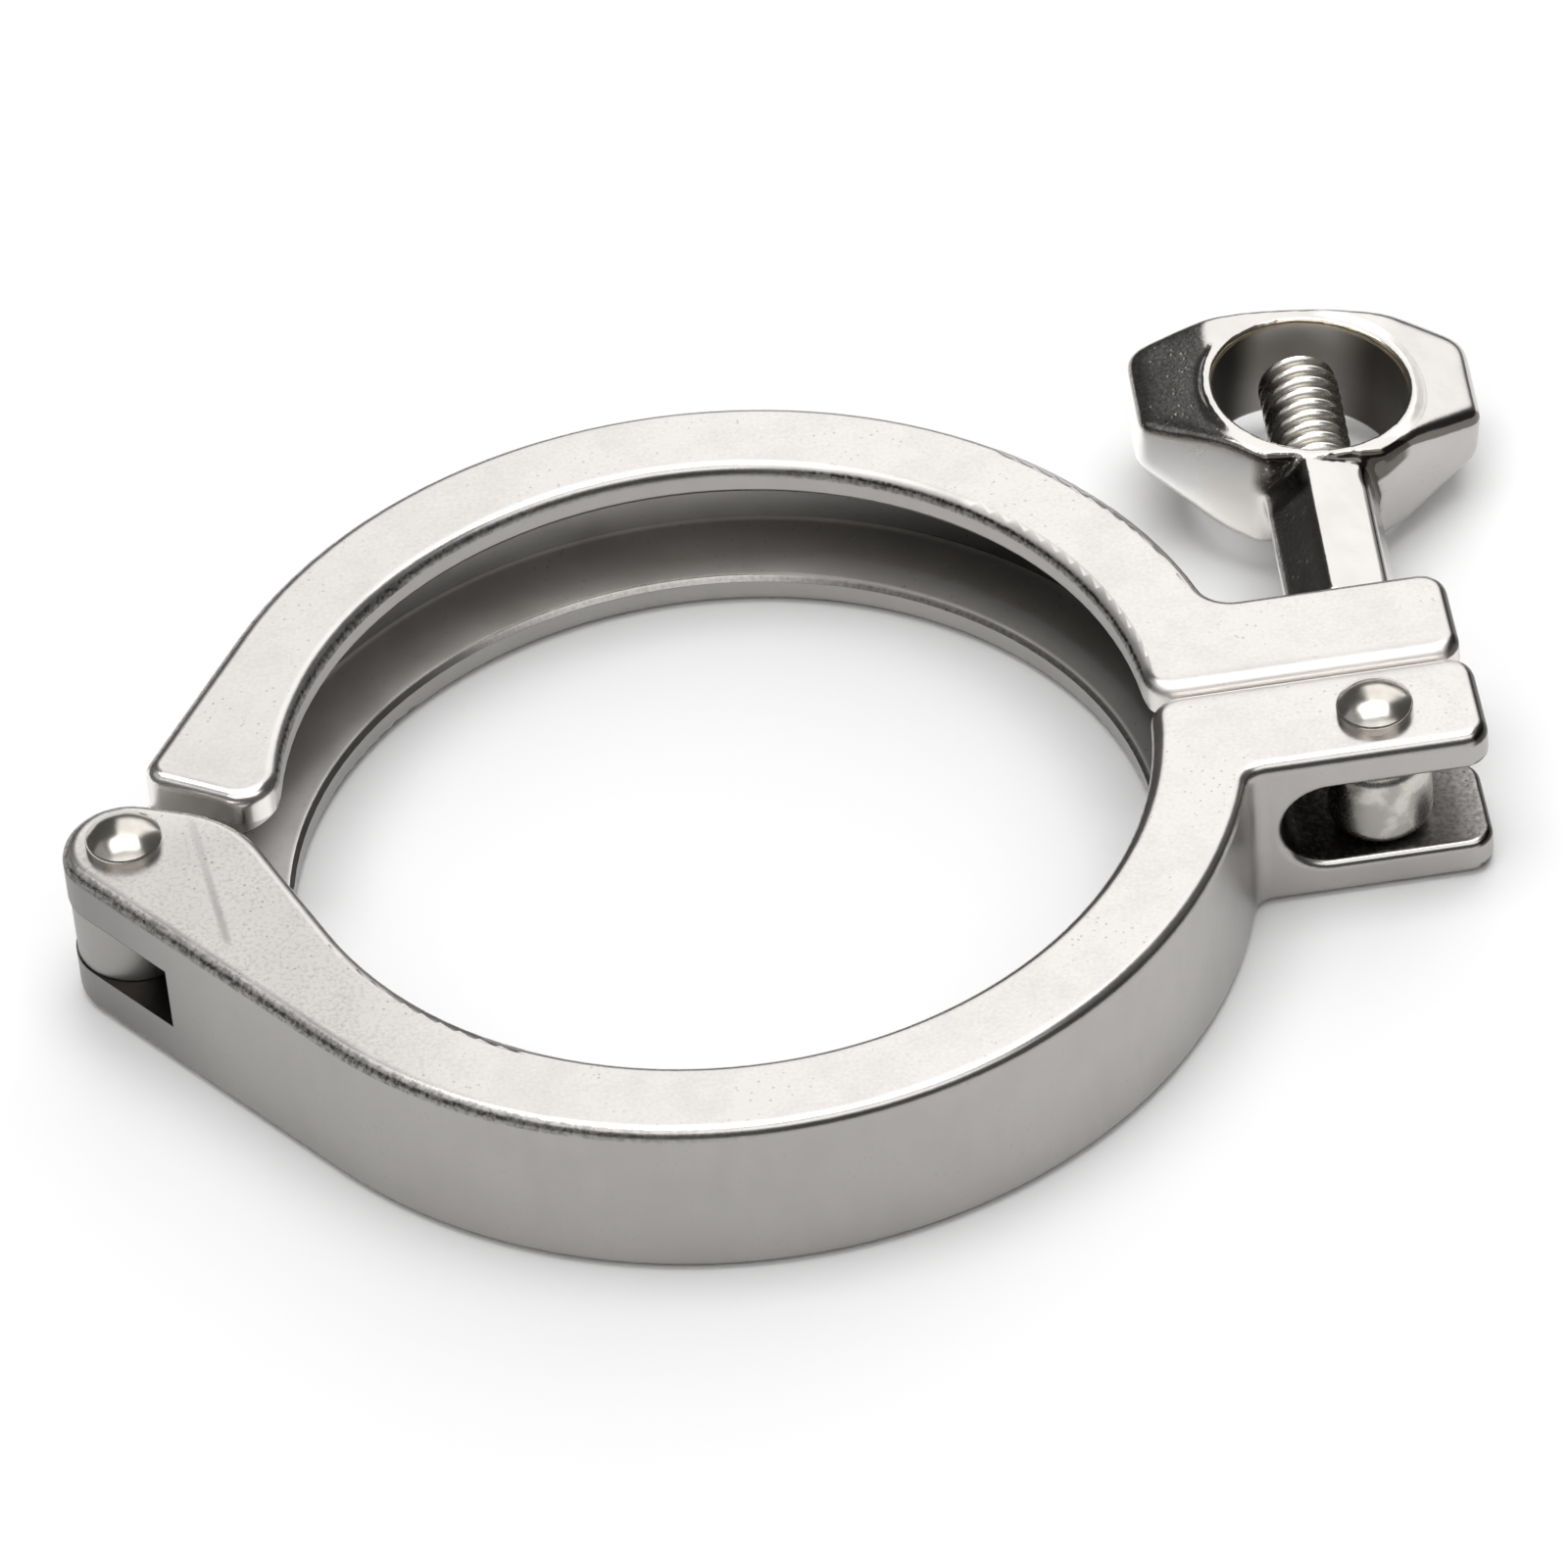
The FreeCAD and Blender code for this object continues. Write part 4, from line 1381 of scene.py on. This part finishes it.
@dataclass
class WingNut:
    """The cast nut, its edges and inner corners softened as the mould and the tumbler leave them.

    Sizes are in millimetres, as in its finish.
    """

    window: NutWindow = NutWindow()
    axis: BoltAxis = BoltAxis()
    bore_guard: float = 4.6
    rim_guard: float = 2.4
    crown: float = 5.2
    rim_end: float = -7.0
    stem_start: float = -13.0
    stem_softness: float = 0.3
    blur: float = 1.7
    voxel: float = 0.30
    weld_reach: float = 0.001
    smoothing: float = 0.5
    light_passes: int = 3
    deep_passes: int = 50
    finish: Steel = field(default_factory=CastNut)

    def softness(self, place: Vector) -> float:
        """Tells how far a point is softened: not in the bore or on the window's rim, little on the stem.

        Args:
            place: The point, in metres.

        Returns:
            A share from 0 to 1.
        """
        x, y, z = place / MM
        if math.hypot(self.axis.beside(x, y), z) < self.bore_guard:
            return 0.0
        across, along = x - self.window.x, y - self.window.y
        height = abs(self.window.level(across, z))
        outward = math.hypot(across, along) - self.window.radius
        rim = self.share((self.rim_guard + self.blur - outward) / self.blur)
        on_crown = self.share((height - self.crown + self.blur) / self.blur)
        beside_rim = self.share((along - self.rim_end + self.blur) / self.blur)
        stem = self.share((self.stem_start - along) / self.blur)
        return (1.0 - rim * max(on_crown, beside_rim)) * (1.0 - (1.0 - self.stem_softness) * stem)

    @staticmethod
    def share(value: float) -> float:
        """Holds a value between 0 and 1."""
        return min(1.0, max(0.0, value))

    def build(self) -> bpy.types.Object:
        """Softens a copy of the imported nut.

        Returns:
            The nut, without a finish.
        """
        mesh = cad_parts["wing_nut"].data.copy()
        nut = bpy.data.objects.new("cast_wing_nut", mesh)
        bpy.context.scene.collection.objects.link(nut)
        weld(nut, self.weld_reach * MM)
        apply_modifier(nut, "REMESH", mode="VOXEL", voxel_size=self.voxel * MM, use_smooth_shade=True)
        apply_modifier(nut, "SMOOTH", factor=self.smoothing, iterations=self.light_passes)
        group = nut.vertex_groups.new(name="softened")
        for vertex in nut.data.vertices:
            group.add([vertex.index], self.softness(vertex.co), "REPLACE")
        apply_modifier(
            nut, "SMOOTH", factor=self.smoothing, iterations=self.deep_passes, vertex_group=group.name,
        )
        nut.vertex_groups.clear()
        return nut

    def dress(self) -> bpy.types.Object:
        """Builds the nut, gives it its finish and seats it in the frame.

        Returns:
            The finished nut.
        """
        nut = self.build()
        seat(nut, self.finish, "cast_nut_steel", node="wing_nut", body="nut")
        return nut


@dataclass
class Castings:
    """The jaws and the rivets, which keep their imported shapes."""

    finishes: dict[str, Steel] = field(default_factory=lambda: {
        # Painted shade in the front jaw's hinge cleft.
        "front_jaw": TumbledJaw(cleft_dark=0.9),
        # Painted light on the rear jaw's knuckle.
        "rear_jaw": TumbledJaw(knuckle_painted_light=0.1),
        "hinge_rivet": PolishedRivet(),
        "bolt_rivet": PolishedRivet(),
    })

    def dress(self) -> list[bpy.types.Object]:
        """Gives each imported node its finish.

        Returns:
            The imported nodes, in the order of their finishes.
        """
        dressed = []
        for name, steel in self.finishes.items():
            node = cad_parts[name]
            node.data.materials.clear()
            node.data.materials.append(steel.material(f"{name}_steel"))
            dressed.append(node)
        return dressed


@dataclass(frozen=True)
class Panel:
    """A bright panel of the studio, bounded by planes through the clamp.

    Each bound is (x, y, z), and a direction lies in the panel where its product with every
    bound is above 0.
    """

    light: float
    bounds: tuple[Triple, ...]
    soft: float = 0.06

    def glow(self, way: tuple[Signal, Signal, Signal]) -> Signal:
        """Gives the panel's light in a direction.

        Args:
            way: The direction, as three numbers.

        Returns:
            The light, as a share of a white sky's.
        """
        x, y, z = way
        total: Any = self.light
        for a, b, c in self.bounds:
            total = (x * a + y * b + z * c).ease(-self.soft, self.soft) * total
        return total


@dataclass
class Studio:
    """The pale floor, the dim room with its soft panels, and the camera."""

    floor_height: float = -9.0 * MM
    floor_width: float = 12.0
    floor_colour: Triple = (0.92, 0.92, 0.92)
    back: Triple = (-0.04311, -0.73542, 0.67624)
    right: Triple = (0.98885, -0.12801, -0.07617)
    up: Triple = (0.14258, 0.66541, 0.73274)
    distance: float = 1203.48 * MM
    aside: float = 6.047 * MM
    above: float = 4.041 * MM
    focal_px: float = 12750.0
    picture_px: float = 1600.0
    film: float = 36.0
    clip: Span = (0.05, 30.0)
    room: float = 0.10
    room_colour: Triple = (1.0, 1.0, 1.0)
    far_wall: Panel = Panel(1.45, ((1, 0, 0.2), (-0.66, 0.62, 0.16), (0, -0.3, 1), (0, 2.5, -1)))
    ceiling: Panel = Panel(3.9, ((1, 0, 0.5), (-1, 0, 0.5), (0, -1, 0.36), (0, 1, 0.25)))
    near_screen: Panel = Panel(1.5, ((1, 0, 0.9), (-1, 0, 0.9), (0, -1, -0.42), (0, 1, 1.15)))
    left_screen: Panel = Panel(0.35, ((-1, 0, -0.75), (1, 0, 1.7), (0, 1, 0.7), (0, -1, 0.6)))

    def camera(self) -> None:
        """Sets the camera where the photographer stood."""
        lens = bpy.data.cameras.new("camera")
        lens.sensor_fit = "HORIZONTAL"
        lens.sensor_width = self.film
        lens.lens = self.focal_px / self.picture_px * self.film
        lens.clip_start, lens.clip_end = self.clip
        camera = bpy.data.objects.new("camera", lens)
        bpy.context.scene.collection.objects.link(camera)
        axes = [Vector(axis).normalized() for axis in (self.right, self.up, self.back)]
        spot = axes[2] * self.distance + axes[0] * self.aside + axes[1] * self.above
        turn = Matrix(axes).transposed().to_4x4()
        camera.matrix_world = Matrix.Translation(spot) @ turn
        bpy.context.scene.camera = camera

    def floor(self) -> None:
        """Lays the pale floor, which keeps the clamp's shadow."""
        bpy.ops.object.select_all(action="DESELECT")
        bpy.ops.mesh.primitive_plane_add(size=self.floor_width, location=(0, 0, self.floor_height))
        floor = bpy.context.object
        floor.name = "floor"
        material = bpy.data.materials.new("pale_floor")
        material.use_nodes = True
        graph = Graph(material.node_tree)
        matt = graph.node("ShaderNodeBsdfDiffuse", None, {"Color": self.floor_colour})
        graph.node("ShaderNodeOutputMaterial", None, {"Surface": matt})
        floor.data.materials.append(material)

    def world(self) -> None:
        """Surrounds the clamp with the dim room and its bright panels."""
        world = bpy.data.worlds.new("room")
        bpy.context.scene.world = world
        world.use_nodes = True
        graph = Graph(world.node_tree)
        way = graph.split(graph.node("ShaderNodeTexCoord", output="Generated"))
        strength: Any = self.room
        for panel in (self.far_wall, self.ceiling, self.near_screen, self.left_screen):
            strength = panel.glow(way) + strength
        light = graph.node("ShaderNodeBackground", None, {"Color": self.room_colour, "Strength": strength})
        graph.node("ShaderNodeOutputWorld", None, {"Surface": light})

    def build(self) -> None:
        """Sets up the whole studio."""
        self.camera()
        self.floor()
        self.world()
        bpy.context.scene.view_settings.view_transform = "Standard"


def main() -> None:
    """Builds the studio and the pieces in order."""
    logging.basicConfig(level=logging.INFO)
    Studio().build()
    for piece in Castings().dress():
        log.info("dressed %s", piece.name)
    for piece in (SwingBolt().dress(), WingNut().dress()):
        log.info("built %s, %d faces", piece.name, len(piece.data.polygons))


if __name__ == "__main__":
    main()
